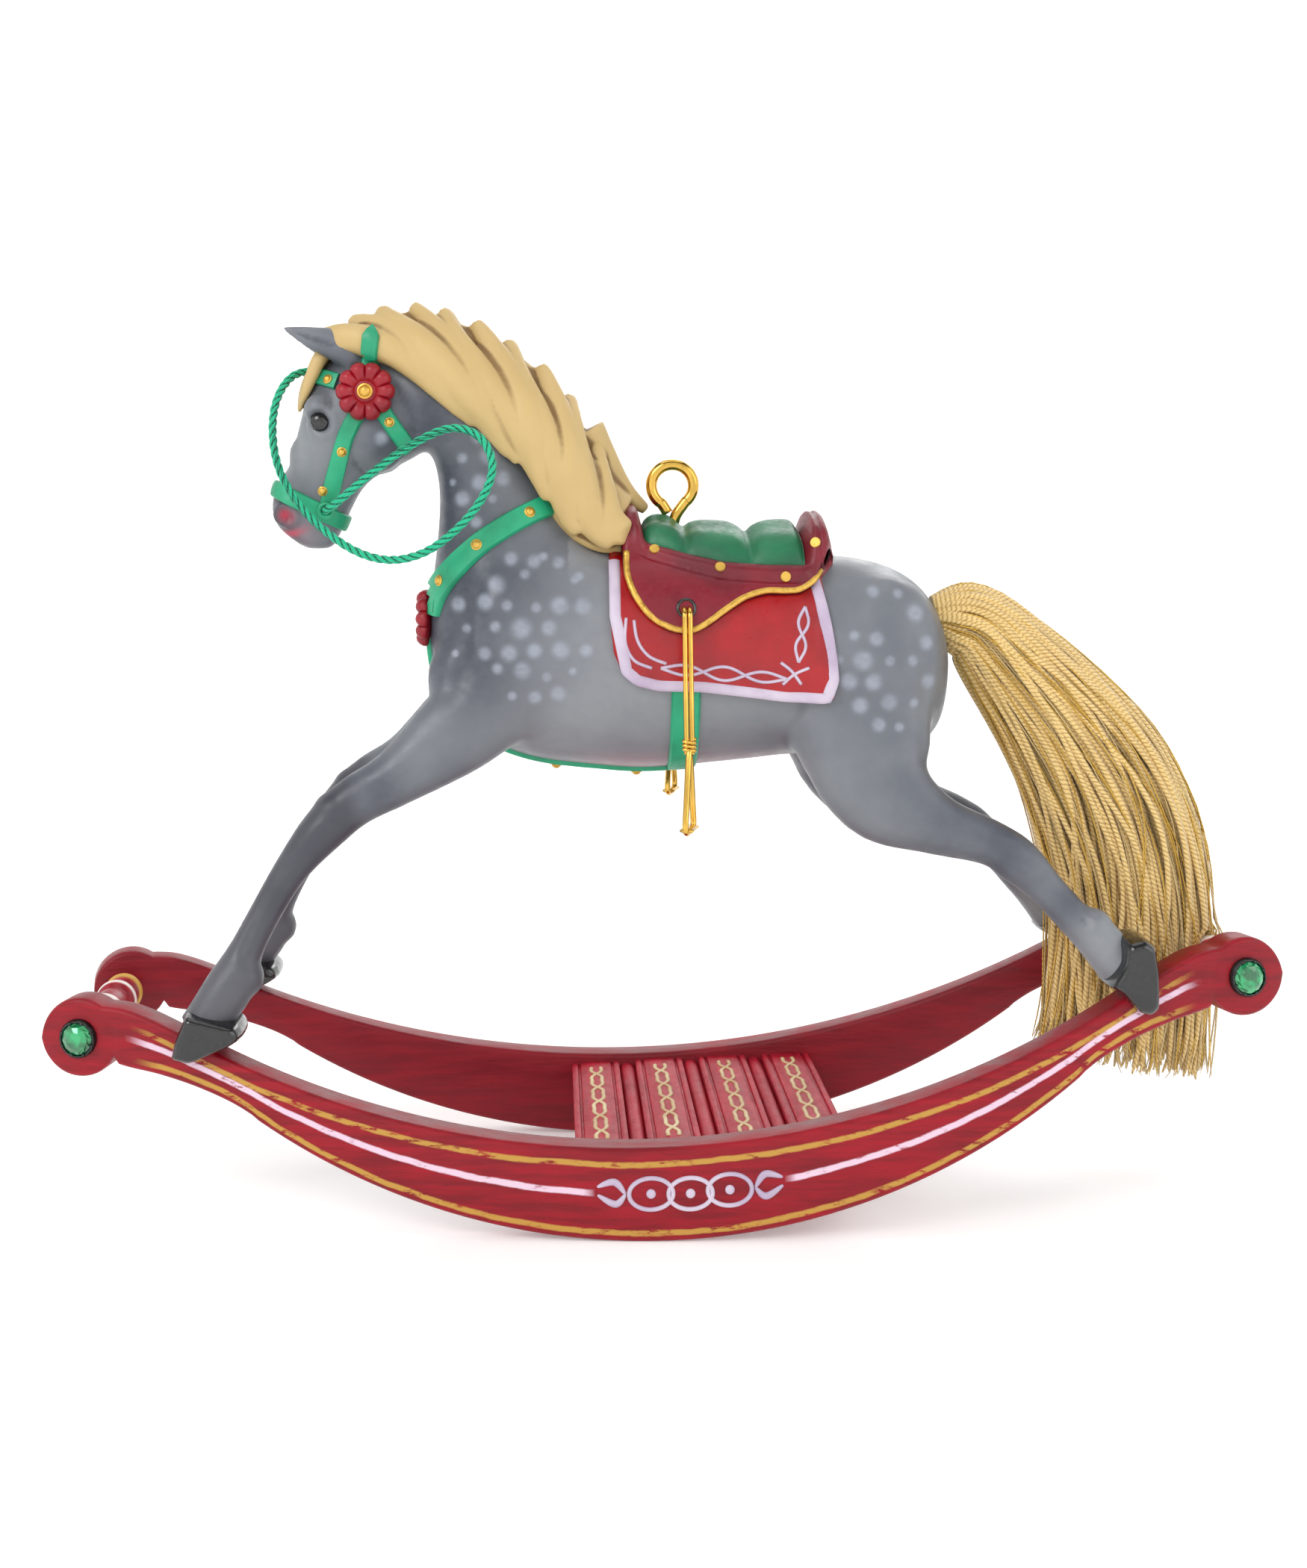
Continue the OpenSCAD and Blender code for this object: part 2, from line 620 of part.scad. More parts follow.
rosette_y = 4.5;
module rosette_near() color("darkred")
    translate([rosette_place[0], -rosette_y, rosette_place[1]]) rotate([90, 0, 0]) rosette();
module rosette_far() color("darkred")
    translate([rosette_place[0], rosette_y, rosette_place[1]]) rotate([-90, 0, 0]) rosette();
module rosette_chest() color("darkred") translate([-21.5, 0, 53]) rotate([0, -90, 0]) rosette();

// ---- blanket and saddle: plates wrapped over the torso ----
// Rows run from front to back. The hem gives the lower edge's height at each x.
module wrapped(rows, hem, low, high, cols = 16, flare = 0) {
    hem_turns = [for (x = rows) torso_turn(x, lookup(x, hem), high)];
    grid = function(grow) [for (i = [0:len(rows) - 1])
        [for (k = [0:cols])
            let(
                u = 2 * k / cols - 1,
                back = max(0, (rows[i] - rows[0]) / (rows[len(rows) - 1] - rows[0])),
                x = rows[i] - flare * back * (1 - u * u)
            )
            on_torso(x, u * hem_turns[i], grow)]
    ];
    slab(grid(high), grid(low));
}

blanket_hem = [
    [-4.3, 53], [-3.9, 50], [-2.8, 48], [-0.9, 46.8], [4, 46.7], [8.3, 46.3], [11.4, 45.8],
    [15.6, 45.6], [16.2, 47]
];
flap_hem = [
    [-3, 58.4], [-2.5, 55.3], [-0.9, 53.2], [1.2, 52], [3.1, 51.9], [4.6, 52.5], [6.4, 53.8], [8, 54.8],
    [9.8, 55.3], [12.9, 55.3], [14.4, 56.1], [15.6, 57.8]
];
saddle_low = glue + blanket_thickness + 0.05;
saddle_high = saddle_low + flap_thickness;

module blanket() color("crimson") difference() {
    wrapped([-4.3, -3.9, -2.8, -0.9, 1.5, 4, 8, 11.4, 15, 15.8, 16.2], blanket_hem,
        glue, glue + blanket_thickness, 18, 1.2);
    cross_bar(saddle_hole[0], saddle_hole[1], 0.95, -20, 20);
    eye_screw_room();
}

module saddle() color("firebrick") difference() {
    union() {
        wrapped([-3, -2.5, -0.9, 1.2, 3.1, 4.6, 6.4, 8, 9.8, 12.9, 14.4, 15.6], flap_hem,
            saddle_low, saddle_high);
        translate([0, 3.6, 0]) rotate([90, 0, 0]) linear_extrude(7.2) {
            polygon([[-3.2, 60.3], [-3.4, 62.6], [-2.6, 63.7], [-1.5, 63.2], [-1.3, 60.6]]);
            polygon([[13.4, 60.2], [13.2, 62], [14.3, 63], [15.9, 61.6], [15.6, 60.2]]);
        }
    }
    cross_bar(saddle_hole[0], saddle_hole[1], stirrup_pin_radius + pin_clearance, -20, 20);
    eye_screw_room();
}

// The gold bead along the flap's edge.
piping_depth = 0.5;
module piping_near() {
    rows = [for (x = [-2.6:0.65:15]) x];
    grid = function(grow) [for (x = rows) [for (k = [0:1])
        on_torso(x, -torso_turn(x, lookup(x, flap_hem) + 0.15 + k * piping_depth, saddle_high), grow)]];
    slab(grid(saddle_high + 0.3), grid(saddle_high + 0.02));
}
module saddle_piping_near() color("goldenrod") piping_near();
module saddle_piping_far() color("goldenrod") mirror([0, 1, 0]) piping_near();

module saddle_studs() color("gold") side_studs([[-0.2, 58.9], [5.7, 58.1], [11.4, 57.3]], saddle_high);

// The seat's three quilted lobes.
seat_rows = [-1, -0.6, 0.6, 1.6, 2.7, 3.6, 5, 6.4, 7.8, 8.7, 9.8, 11.4, 12.6, 13];
seat_height = [[-1, 0.4], [0.3, 1.7], [2.7, 0.9], [5.6, 1.8], [8.7, 0.9], [11.8, 2], [13, 0.6]];

module seat_cushion() color("seagreen") difference() {
    slab(
        [for (x = seat_rows) [for (k = [0:10])
            let(u = k / 5 - 1)
            on_torso(x, u * 27, saddle_high + 0.05 + lookup(x, seat_height) * (1 - 0.8 * pow(u, 4)))]],
        [for (x = seat_rows) [for (k = [0:10]) on_torso(x, (k / 5 - 1) * 27, saddle_high + 0.03)]]
    );
    eye_screw_room();
}

// ---- hanging eye: a screw with an open loop ----
module eye_screw() color("silver") {
    shank_top = eye_place[1] - eye_radius;
    shank_length = 11;
    translate([eye_place[0], 0, eye_place[1]]) rotate([90, 0, 0])
        rotate_extrude() translate([eye_radius, 0]) circle(eye_wire / 2, $fn = 24);
    translate([eye_place[0], 0, shank_top - shank_length]) {
        cylinder(h = shank_length, r = eye_wire / 2, $fn = 24);
        translate([0, 0, -1.2]) cylinder(h = 1.2, r1 = 0.05, r2 = eye_wire / 2, $fn = 24);
    }
}

// ---- stirrups: a formed wire that swings on its pin in the saddle flap ----
pin_inner = 5.5;
pin_outer = 10;
iron_y = 12.4;
iron_top = 41.4;
iron_foot = 35;
iron_half = 1.8;

module stirrup(side) color("gold") {
    x = saddle_hole[0];
    r = stirrup_wire / 2;
    apex = [x, side * iron_y, iron_top];
    scale([1, -side, 1]) {
        cross_bar(x, saddle_hole[1], stirrup_pin_radius, -pin_outer, -pin_inner);
        cross_bar(x, saddle_hole[1], 1.05, -pin_inner - 0.4, -pin_inner);
    }
    for (shift = [-1, 1])
        translate([shift * (r + 0.01), 0, 0])
            rod([x, side * (pin_outer - 0.3), saddle_hole[1]], apex, r);
    translate(apex) sphere(0.5, $fn = 24);
    for (edge = [-1, 1]) {
        corner = [x, side * iron_y + edge * iron_half, iron_foot];
        rod(apex, corner, r * 1.3);
        translate(corner) sphere(r * 1.5, $fn = 24);
    }
    translate([x - 0.8, side * iron_y - iron_half, iron_foot - 0.25]) cube([1.6, 2 * iron_half, 0.5]);
}

module stirrup_near() stirrup(-1);
module stirrup_far() stirrup(1);

// ---- tail and rein ----
module tail_floss() color("navajowhite") difference() {
    loft(tail_line, 0, 18);
    spindle_axis(1) cylinder(h = 20, r = 2.1, center = true);
}

module rein_cord() color("mediumseagreen") tube(smooth_route(rein_points, 2), cord_diameter / 2);

rocker_near();
rocker_far();
spindle_front();
spindle_rear();
deck_slat_1();
deck_slat_2();
deck_slat_3();
deck_slat_4();
deck_beads();
stone_cups();
stone_near_front();
stone_near_rear();
stone_far_front();
stone_far_rear();
body_near_half();
body_far_half();
hoof_front_near();
hoof_front_far();
hoof_hind_near();
hoof_hind_far();
mane();
forelock();
eye_near();
eye_far();
bridle();
bridle_studs();
rosette_near();
rosette_far();
rosette_chest();
breast_collar();
collar_studs();
belly_strap();
girth();
strap_studs();
blanket();
saddle();
saddle_piping_near();
saddle_piping_far();
saddle_studs();
seat_cushion();
eye_screw();
stirrup_near();
stirrup_far();
tail_floss();
rein_cord();
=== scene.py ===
"""Looks of the rocking horse keepsake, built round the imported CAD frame.

Lists of places are in millimetres, as [x, y, z] or, in the side view, [x, z]; meshes are made in metres.
"""

import math

import bpy
import numpy as np
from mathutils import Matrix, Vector
from mathutils.bvhtree import BVHTree


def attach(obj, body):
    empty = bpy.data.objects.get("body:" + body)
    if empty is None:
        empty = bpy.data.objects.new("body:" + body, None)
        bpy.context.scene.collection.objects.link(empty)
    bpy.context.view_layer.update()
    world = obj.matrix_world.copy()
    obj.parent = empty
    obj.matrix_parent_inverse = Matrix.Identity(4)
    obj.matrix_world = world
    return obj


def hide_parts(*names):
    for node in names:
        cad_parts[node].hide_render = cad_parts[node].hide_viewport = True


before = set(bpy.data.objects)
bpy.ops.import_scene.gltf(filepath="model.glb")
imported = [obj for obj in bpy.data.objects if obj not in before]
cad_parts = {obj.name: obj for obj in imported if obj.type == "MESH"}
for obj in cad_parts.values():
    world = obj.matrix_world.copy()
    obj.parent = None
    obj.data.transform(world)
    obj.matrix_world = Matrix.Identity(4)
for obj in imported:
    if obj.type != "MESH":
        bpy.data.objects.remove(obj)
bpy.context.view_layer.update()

MM = 0.001
TURN = 2 * math.pi
SIDES = ((-1, "near"), (1, "far"))
rng = np.random.default_rng(11)


# ---- curves and small sums ----
def smooth(points, steps, closed=False):
    """A Catmull-Rom curve through rows of numbers."""
    p = np.asarray(points, float)
    n = len(p)
    spans = n if closed else n - 1
    out = []
    for i in range(spans):
        near = [(i + k) % n if closed else min(max(i + k, 0), n - 1) for k in (-1, 0, 1, 2)]
        a, b, c, d = p[near]
        for s in range(steps):
            t = s / steps
            out.append(0.5 * (2 * b + (c - a) * t + (2 * a - 5 * b + 4 * c - d) * t ** 2
                              + (3 * b - a - 3 * c + d) * t ** 3))
    if not closed:
        out.append(p[-1])
    return np.array(out)


def lookup(x, table):
    """The value at x in rows of [x, value]."""
    table = np.asarray(table, float)
    return np.interp(x, table[:, 0], table[:, 1])


def resample(path, pitch):
    """The path as evenly spaced points."""
    path = np.asarray(path, float)
    run = np.r_[0, np.cumsum(np.linalg.norm(np.diff(path, axis=0), axis=1))]
    at = np.linspace(0, run[-1], max(2, int(round(run[-1] / pitch)) + 1))
    return np.stack([np.interp(at, run, path[:, k]) for k in range(path.shape[1])], 1)


def unit(v):
    return v / np.maximum(np.linalg.norm(v, axis=-1, keepdims=True), 1e-9)


def turns(count):
    """Evenly spaced angles round a circle."""
    return np.linspace(0, TURN, count, endpoint=False)


def hill(distance, radius):
    """1 at the middle, falling smoothly to 0 past the radius."""
    return np.exp(-(np.asarray(distance) / radius) ** 2)


def step(x, low, high):
    """0 below low and 1 above high, with a smooth rise between."""
    t = np.clip((np.asarray(x, float) - low) / (high - low), 0, 1)
    return t * t * (3 - 2 * t)


# ---- solid shapes, each as (points, quads, triangles) ----
def grid_quads(rows, cols, closed_rows=False, closed_cols=False):
    i, k = np.meshgrid(np.arange(rows if closed_rows else rows - 1),
                       np.arange(cols if closed_cols else cols - 1), indexing="ij")
    j, m = (i + 1) % rows, (k + 1) % cols
    return np.stack([i * cols + k, i * cols + m, j * cols + m, j * cols + k], -1).reshape(-1, 4)


def loft(rings, closed=False):
    rings = np.asarray(rings, float)
    rows, cols = rings.shape[:2]
    points = rings.reshape(-1, 3)
    quads = grid_quads(rows, cols, closed, True)
    tris = np.zeros((0, 3), int)
    if not closed:
        k = np.arange(cols)
        first, last = rows * cols, rows * cols + 1
        m = (k + 1) % cols
        points = np.vstack([points, rings[0].mean(0), rings[-1].mean(0)])
        tris = np.vstack([np.stack([np.full(cols, first), m, k], 1),
                          np.stack([np.full(cols, last), k + (rows - 1) * cols, m + (rows - 1) * cols], 1)])
    return points, quads, tris


def tube(path, radius, sides=10, closed=False, flat=1.0, up=(0, 1, 0)):
    """A round or flattened tube along a path; the flattened way stays near `up`."""
    path = np.asarray(path, float)
    if closed:
        run = unit(np.roll(path, -1, 0) - np.roll(path, 1, 0))
    else:
        run = unit(np.gradient(path, axis=0))
    if flat != 1:
        across = unit(np.cross(run, np.asarray(up, float)))
    else:
        side = np.array([0, 0, 1.0]) if abs(run[0][2]) < 0.9 else np.array([1.0, 0, 0])
        across = np.zeros_like(path)
        for i, r in enumerate(run):
            side = unit(side - r * (side @ r))
            across[i] = side
    out = np.cross(run, across)
    r = np.broadcast_to(np.asarray(radius, float), len(path))[:, None, None]
    t = turns(sides)[None, :, None]
    return loft(path[:, None] + r * (np.cos(t) * across[:, None] + flat * np.sin(t) * out[:, None]), closed)


def slab(outer, inner):
    """A closed plate between two grids of points."""
    outer, inner = np.asarray(outer, float), np.asarray(inner, float)
    rows, cols = outer.shape[:2]
    below = rows * cols
    index = np.arange(below).reshape(rows, cols)
    rim = np.concatenate([index[0, :-1], index[:-1, -1], index[-1, :0:-1], index[:0:-1, 0]])
    nxt = np.roll(rim, -1)
    top = grid_quads(rows, cols)
    walls = np.stack([rim, rim + below, nxt + below, nxt], 1)
    quads = np.vstack([top, top[:, ::-1] + below, walls[:, ::-1]])
    return np.vstack([outer.reshape(-1, 3), inner.reshape(-1, 3)]), quads, np.zeros((0, 3), int)


def plate(rows):
    """A slab from rows of (outer, inner) pairs of points."""
    grid = np.array(rows, float)
    return slab(grid[:, :, 0], grid[:, :, 1])


def turned(profile, count):
    """A turned shape facing +Z, from rows of [radius, height]."""
    t = turns(count)
    return loft([np.stack([r * np.cos(t), r * np.sin(t), np.full(count, z)], 1) for r, z in profile])


def ball(centre, radii, tilt=0.0, rows=12, cols=18):
    """An ellipsoid, tilted in the side view by degrees."""
    a = np.linspace(0.02, math.pi - 0.02, rows)[:, None]
    t = turns(cols)[None]
    p = np.stack([np.sin(a) * np.cos(t), np.sin(a) * np.sin(t), np.cos(a) * np.ones_like(t)], -1) * radii
    c, s = math.cos(math.radians(tilt)), math.sin(math.radians(tilt))
    p = p @ np.array([[c, 0, -s], [0, 1, 0], [s, 0, c]])
    return loft(p + np.asarray(centre, float))


def mirrored(part):
    points, quads, tris = part
    return points * [1, -1, 1], quads[:, ::-1], tris[:, ::-1]


def moved(part, function):
    return (function(part[0]),) + part[1:]


def volume(part):
    points, quads, tris = part
    faces = np.vstack([quads[:, [0, 1, 2]], quads[:, [0, 2, 3]], tris])
    a, b, c = (points[faces[:, k]] for k in range(3))
    return np.einsum("ij,ij->i", a, np.cross(b, c)).sum()


class Pile:
    """Closed shapes gathered into one mesh, with named values on its points."""

    def __init__(self):
        self.parts = []
        self.values = {}

    def add(self, part, **values):
        if volume(part) < 0:
            part = part[0], part[1][:, ::-1], part[2][:, ::-1]
        self.parts.append(part)
        for name, value in values.items():
            self.values.setdefault(name, {})[len(self.parts) - 1] = value
        return self

    def both(self, part, **values):
        self.add(part, **values)
        return self.add(mirrored(part), **values)

    def joined(self):
        starts = np.cumsum([0] + [len(p[0]) for p in self.parts])
        points = np.vstack([p[0] for p in self.parts])
        quads = np.vstack([p[1] + s for p, s in zip(self.parts, starts)])
        tris = np.vstack([p[2] + s for p, s in zip(self.parts, starts)])
        values = {
            name: np.concatenate([np.broadcast_to(found.get(i, 0.0), len(p[0]))
                                  for i, p in enumerate(self.parts)])
            for name, found in self.values.items()
        }
        return (points, quads, tris), values


def blender_mesh(name, part):
    points, quads, tris = part
    mesh = bpy.data.meshes.new(name)
    mesh.from_pydata((points * MM).tolist(), [], quads.tolist() + tris.tolist())
    return mesh


def remeshed(pile, voxel, rounds):
    """The pile's outer skin, fused on a grid of that many millimetres and relaxed."""
    shape = bpy.data.objects.new("fusing", blender_mesh("fusing", pile.joined()[0]))
    bpy.context.scene.collection.objects.link(shape)
    fuse = shape.modifiers.new("fuse", "REMESH")
    fuse.mode = "VOXEL"
    fuse.voxel_size = voxel * MM
    relax = shape.modifiers.new("relax", "SMOOTH")
    relax.factor = 0.5
    relax.iterations = rounds
    mesh = bpy.data.meshes.new_from_object(shape.evaluated_get(bpy.context.evaluated_depsgraph_get()))
    points = np.zeros(len(mesh.vertices) * 3)
    mesh.vertices.foreach_get("co", points)
    faces = [list(face.vertices) for face in mesh.polygons]
    quads, tris = (np.array([f for f in faces if len(f) == n], int).reshape(-1, n) for n in (4, 3))
    bpy.data.objects.remove(shape)
    return points.reshape(-1, 3) / MM, quads, tris


def normals(part):
    points, quads, tris = part
    n = np.zeros_like(points)
    for face in (quads, tris):
        if len(face):
            out = np.cross(points[face[:, 2]] - points[face[:, 0]],
                           points[face[:, -1]] - points[face[:, 1]])
            for k in range(face.shape[1]):
                for axis in range(3):
                    n[:, axis] += np.bincount(face[:, k], out[:, axis], len(points))
    return unit(n)


def averager(part):
    """A function that gives each point the mean of its neighbours' values."""
    points, quads, tris = part
    edges = np.vstack([quads[:, [0, 1]], quads[:, [1, 2]], quads[:, [2, 3]], quads[:, [3, 0]]])
    degree = np.maximum(np.bincount(edges.ravel(), minlength=len(points)), 1)

    def mean(values):
        total = np.bincount(edges[:, 0], values[edges[:, 1]], len(points))
        return (total + np.bincount(edges[:, 1], values[edges[:, 0]], len(points))) / degree

    return mean


def softened(part, share, rounds):
    """Relaxes the points, each by its own share."""
    mean = averager(part)
    points = part[0].copy()
    for _ in range(rounds):
        average = np.stack([mean(points[:, k]) for k in range(3)], 1)
        points += (average - points) * 0.5 * share[:, None]
    return points, part[1], part[2]


def hollowness(part, rounds=6):
    """How far each point lies in a valley, from 0 on a crest to 1 in a crease."""
    points = part[0]
    mean = averager(part)
    average = points.copy()
    for _ in range(rounds):
        average = np.stack([mean(average[:, k]) for k in range(3)], 1)
    deep = np.einsum("ij,ij->i", average - points, normals(part))
    return np.clip(0.5 + deep / (2.5 * np.std(deep) + 1e-9), 0, 1)


def piece(name, shape, material, body="horse", replaces=(), edge=40, values=None):
    """Makes the named visible piece from a Pile or a solid, hangs it under its body's empty and hides the
    CAD parts it replaces.
    """
    if isinstance(shape, Pile):
        shape, values = shape.joined()
    mesh = blender_mesh(name, shape)
    for key, value in (values or {}).items():
        mesh.attributes.new(key, "FLOAT", "POINT").data.foreach_set("value", np.asarray(value, np.float32))
    mesh.shade_smooth()
    if edge < 180:
        mesh.set_sharp_from_angle(angle=math.radians(edge))
    mesh.materials.append(material)
    made = bpy.data.objects.new(name, mesh)
    bpy.context.scene.collection.objects.link(made)
    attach(made, body)
    if replaces:
        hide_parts(*replaces)
    return made


class Surface:
    """A finished skin that straps and cloths are laid on."""

    def __init__(self, part, below=None, thickness=0.0):
        """Past its edges, places fall on the surface below it, lifted by its thickness."""
        points, quads, tris = part
        self.below, self.thickness = below, thickness
        self.tree = BVHTree.FromPolygons(points.tolist(), quads.tolist() + tris.tolist())

    def beside(self, x, z, side, lift):
        """The point seen from the side at [x, z], lifted off the skin."""
        hit, normal, _, _ = self.tree.ray_cast(Vector((x, side * 40, z)), Vector((0, -side, 0)))
        if hit is None:
            hit, normal, _, _ = self.tree.find_nearest(Vector((x, side * 4, z)))
        return np.array(hit + normal * lift)

    def around(self, x, turn, lift):
        """The point that many degrees round the torso from its top, lifted off the surface."""
        t = math.radians(turn)
        away = Vector((0, math.sin(t), math.cos(t)))
        hit, normal, _, _ = self.tree.ray_cast(Vector((x, 0, TORSO_Z)) + away * 30, -away)
        if hit is None:
            return self.below.around(x, turn, lift + self.thickness)
        return np.array(hit + away * lift)


# ---- materials ----
def colour(red, green, blue):
    """Linear colour from the usual 0-255 numbers."""
    return [((c / 255 + 0.055) / 1.055) ** 2.4 if c > 10 else c / 3294.6
            for c in (red, green, blue)] + [1.0]


class Finish:
    """A node material under construction."""

    def __init__(self, name, roughness=0.45, metallic=0.0, coat=0.0, coat_roughness=0.1, sheen=0.0,
                 specular=0.5):
        self.material = bpy.data.materials.new(name)
        self.material.use_nodes = True
        self.tree = self.material.node_tree
        self.surface = self.tree.nodes["Principled BSDF"]
        for socket, value in (("Roughness", roughness), ("Metallic", metallic), ("Coat Weight", coat),
                              ("Coat Roughness", coat_roughness), ("Sheen Weight", sheen),
                              ("Specular IOR Level", specular)):
            self.surface.inputs[socket].default_value = value
        self.place = self.tree.nodes.new("ShaderNodeTexCoord").outputs["Object"]

    def put(self, socket, value):
        if hasattr(value, "is_linked"):
            self.tree.links.new(value, socket)
        else:
            socket.default_value = value

    def sum(self, operation, a, b=0.0, clamp=False):
        node = self.tree.nodes.new("ShaderNodeMath")
        node.operation = operation
        node.use_clamp = clamp
        self.put(node.inputs[0], a)
        self.put(node.inputs[1], b)
        return node.outputs[0]

    def times(self, *values):
        product = values[0]
        for value in values[1:]:
            product = self.sum("MULTIPLY", product, value)
        return product

    def noise(self, per_mm, detail=3.0, stretch=(1, 1, 1), rough=0.55):
        scale = self.tree.nodes.new("ShaderNodeMapping")
        scale.inputs["Scale"].default_value = [s * per_mm / MM for s in stretch]
        self.tree.links.new(self.place, scale.inputs["Vector"])
        node = self.tree.nodes.new("ShaderNodeTexNoise")
        node.inputs["Scale"].default_value = 1
        node.inputs["Detail"].default_value = detail
        node.inputs["Roughness"].default_value = rough
        self.tree.links.new(scale.outputs[0], node.inputs["Vector"])
        return node.outputs[0]

    def speckle(self, per_mm):
        scale = self.tree.nodes.new("ShaderNodeVectorMath")
        scale.operation = "SCALE"
        scale.inputs["Scale"].default_value = per_mm / MM
        self.tree.links.new(self.place, scale.inputs[0])
        node = self.tree.nodes.new("ShaderNodeTexVoronoi")
        node.inputs["Scale"].default_value = 1
        self.tree.links.new(scale.outputs[0], node.inputs["Vector"])
        return node.outputs["Distance"]

    def value(self, name):
        node = self.tree.nodes.new("ShaderNodeAttribute")
        node.attribute_name = name
        return node.outputs["Fac"]

    def ramp(self, value, low, high, to_low=0.0, to_high=1.0):
        node = self.tree.nodes.new("ShaderNodeMapRange")
        node.interpolation_type = "SMOOTHSTEP"
        for socket, number in zip(("From Min", "From Max", "To Min", "To Max"),
                                  (low, high, to_low, to_high)):
            node.inputs[socket].default_value = number
        self.put(node.inputs["Value"], value)
        return node.outputs[0]

    def mix(self, factor, a, b):
        node = self.tree.nodes.new("ShaderNodeMix")
        node.data_type = "RGBA"
        self.put(node.inputs[0], factor)
        self.put(node.inputs[6], a)
        self.put(node.inputs[7], b)
        return node.outputs[2]

    def blend(self, dark, light, *ramp):
        """From one colour to the other along a ramp."""
        return self.mix(self.ramp(*ramp), colour(*dark), colour(*light))

    def tint(self, tone, shade, *shares):
        """The tone with a share of another colour over it."""
        return self.mix(self.times(*shares), tone, colour(*shade))

    def band(self, value, middle, half, soft):
        """1 where the value is within half of the middle, with soft edges."""
        away = self.sum("ABSOLUTE", self.sum("SUBTRACT", value, middle))
        return self.ramp(away, half - soft, half + soft, 1.0, 0.0)

    def paint(self, base):
        self.put(self.surface.inputs["Base Color"], base)
        return self

    def gloss(self, value, low, high):
        self.put(self.surface.inputs["Roughness"], self.ramp(value, 0.25, 0.75, low, high))
        return self

    def bump(self, *heights):
        """Each height is (value, depth in millimetres)."""
        under = None
        for value, depth in heights:
            node = self.tree.nodes.new("ShaderNodeBump")
            node.inputs["Strength"].default_value = 1
            node.inputs["Distance"].default_value = depth * MM
            self.put(node.inputs["Height"], value)
            if under is not None:
                self.tree.links.new(under, node.inputs["Normal"])
            under = node.outputs[0]
        self.tree.links.new(under, self.surface.inputs["Normal"])
        return self.material


def painted(name, base, dark, roughness=0.42, depth=0.012, coat=0.0):
    """Satin paint on moulded plastic: faint clouds, brush texture and a slightly orange-peeled skin."""
    f = Finish(name, roughness, coat=coat, coat_roughness=0.15)
    cloud = f.noise(0.18, 4)
    fine = f.noise(2.2, 3)
    tone = f.blend(dark, base, cloud, 0.3, 0.72)
    tone = f.tint(tone, dark, f.ramp(f.speckle(0.9), 0.02, 0.1, 1, 0), 0.35)
    f.paint(tone).gloss(fine, roughness - 0.08, roughness + 0.1)
    return f.bump((fine, depth), (f.noise(0.7, 2), depth * 1.5))


def gold_paint():
    """Metallic paint laid by brush, worn thin in places."""
    f = Finish("gold_paint_finish", 0.3, metallic=0.85)
    worn = f.noise(1.4, 5, rough=0.7)
    f.paint(f.blend((178, 132, 54), (222, 180, 88), worn, 0.25, 0.55)).gloss(worn, 0.28, 0.5)
    return f.bump((worn, 0.05), (f.noise(4, 2), 0.02))


def polished(name, tone, rough):
    """Plated wire with faint drawing marks."""
    f = Finish(name, rough, metallic=1.0)
    marks = f.noise(0.8, 4, (1, 1, 0.15))
    f.paint(f.mix(f.ramp(marks, 0.3, 0.7), colour(*[int(c * 0.84) for c in tone]), colour(*tone)))
    f.gloss(marks, rough * 0.7, rough * 1.5)
    return f.bump((f.noise(3, 3), 0.004))


def coat_finish():
    """Dappled grey: charcoal darkening, partly the coat's own paint and partly painted shade, painted light
    on the top of the back, painted shade in the creases, pale spots, pink skin round the mouth and under
    the belly.
    """
    f = Finish("dapple_grey", 0.4, coat=0.08, coat_roughness=0.3)
    cloud = f.noise(0.12, 5)
    brush = f.noise(0.9, 4, (1, 1, 1.4))
    tone = f.blend((98, 102, 110), (116, 120, 126), cloud, 0.3, 0.7)
    # lighter on the top of the back as painted light, and on listed patches of the barrel, lower legs and
    # face
    tone = f.tint(tone, (158, 160, 164), f.value("pale"), f.ramp(brush, 0.2, 0.8, 0.75, 1.0))
    # charcoal over the knees, hocks, throat and where the legs meet the body: partly the coat's dark paint,
    # partly painted shade
    tone = f.tint(tone, (42, 46, 62), f.value("dark_points_and_shade"), f.ramp(brush, 0.15, 0.8, 0.8, 1.0))
    # painted shade in the creases of the skin
    tone = f.tint(tone, (52, 56, 68), f.value("hollow"), 0.5)
    spots = f.times(f.ramp(f.value("dapple"), 0.15, 0.9), f.ramp(brush, 0.2, 0.7, 0.35, 0.7))
    tone = f.mix(spots, tone, colour(158, 164, 178))
    tone = f.tint(tone, (180, 150, 158), f.value("blush"), 0.6)
    tone = f.tint(tone, (56, 54, 64), f.value("muzzle"), 0.9)
    tone = f.tint(tone, (212, 44, 78), f.value("lip"), 0.95)
    f.paint(tone).gloss(brush, 0.34, 0.5)
    return f.bump((f.noise(2.6, 3), 0.01), (brush, 0.012))


def hair_finish(name, light, dark):
    """Painted hair: painted shade darkening the valleys between the locks, fine strokes along the locks."""
    f = Finish(name, 0.5)
    crease_shade = f.value("hollow")
    fine = f.noise(1.6, 4, (1, 1, 0.5))
    # the valleys darken towards the dark colour: painted shade
    tone = f.blend(light, dark, crease_shade, 0.45, 0.95)
    tone = f.mix(f.ramp(f.noise(0.15, 3), 0.35, 0.8, 0, 0.35), tone, colour(178, 148, 94))
    f.paint(tone).gloss(fine, 0.42, 0.6)
    return f.bump((fine, 0.02), (f.noise(3.5, 2), 0.01))


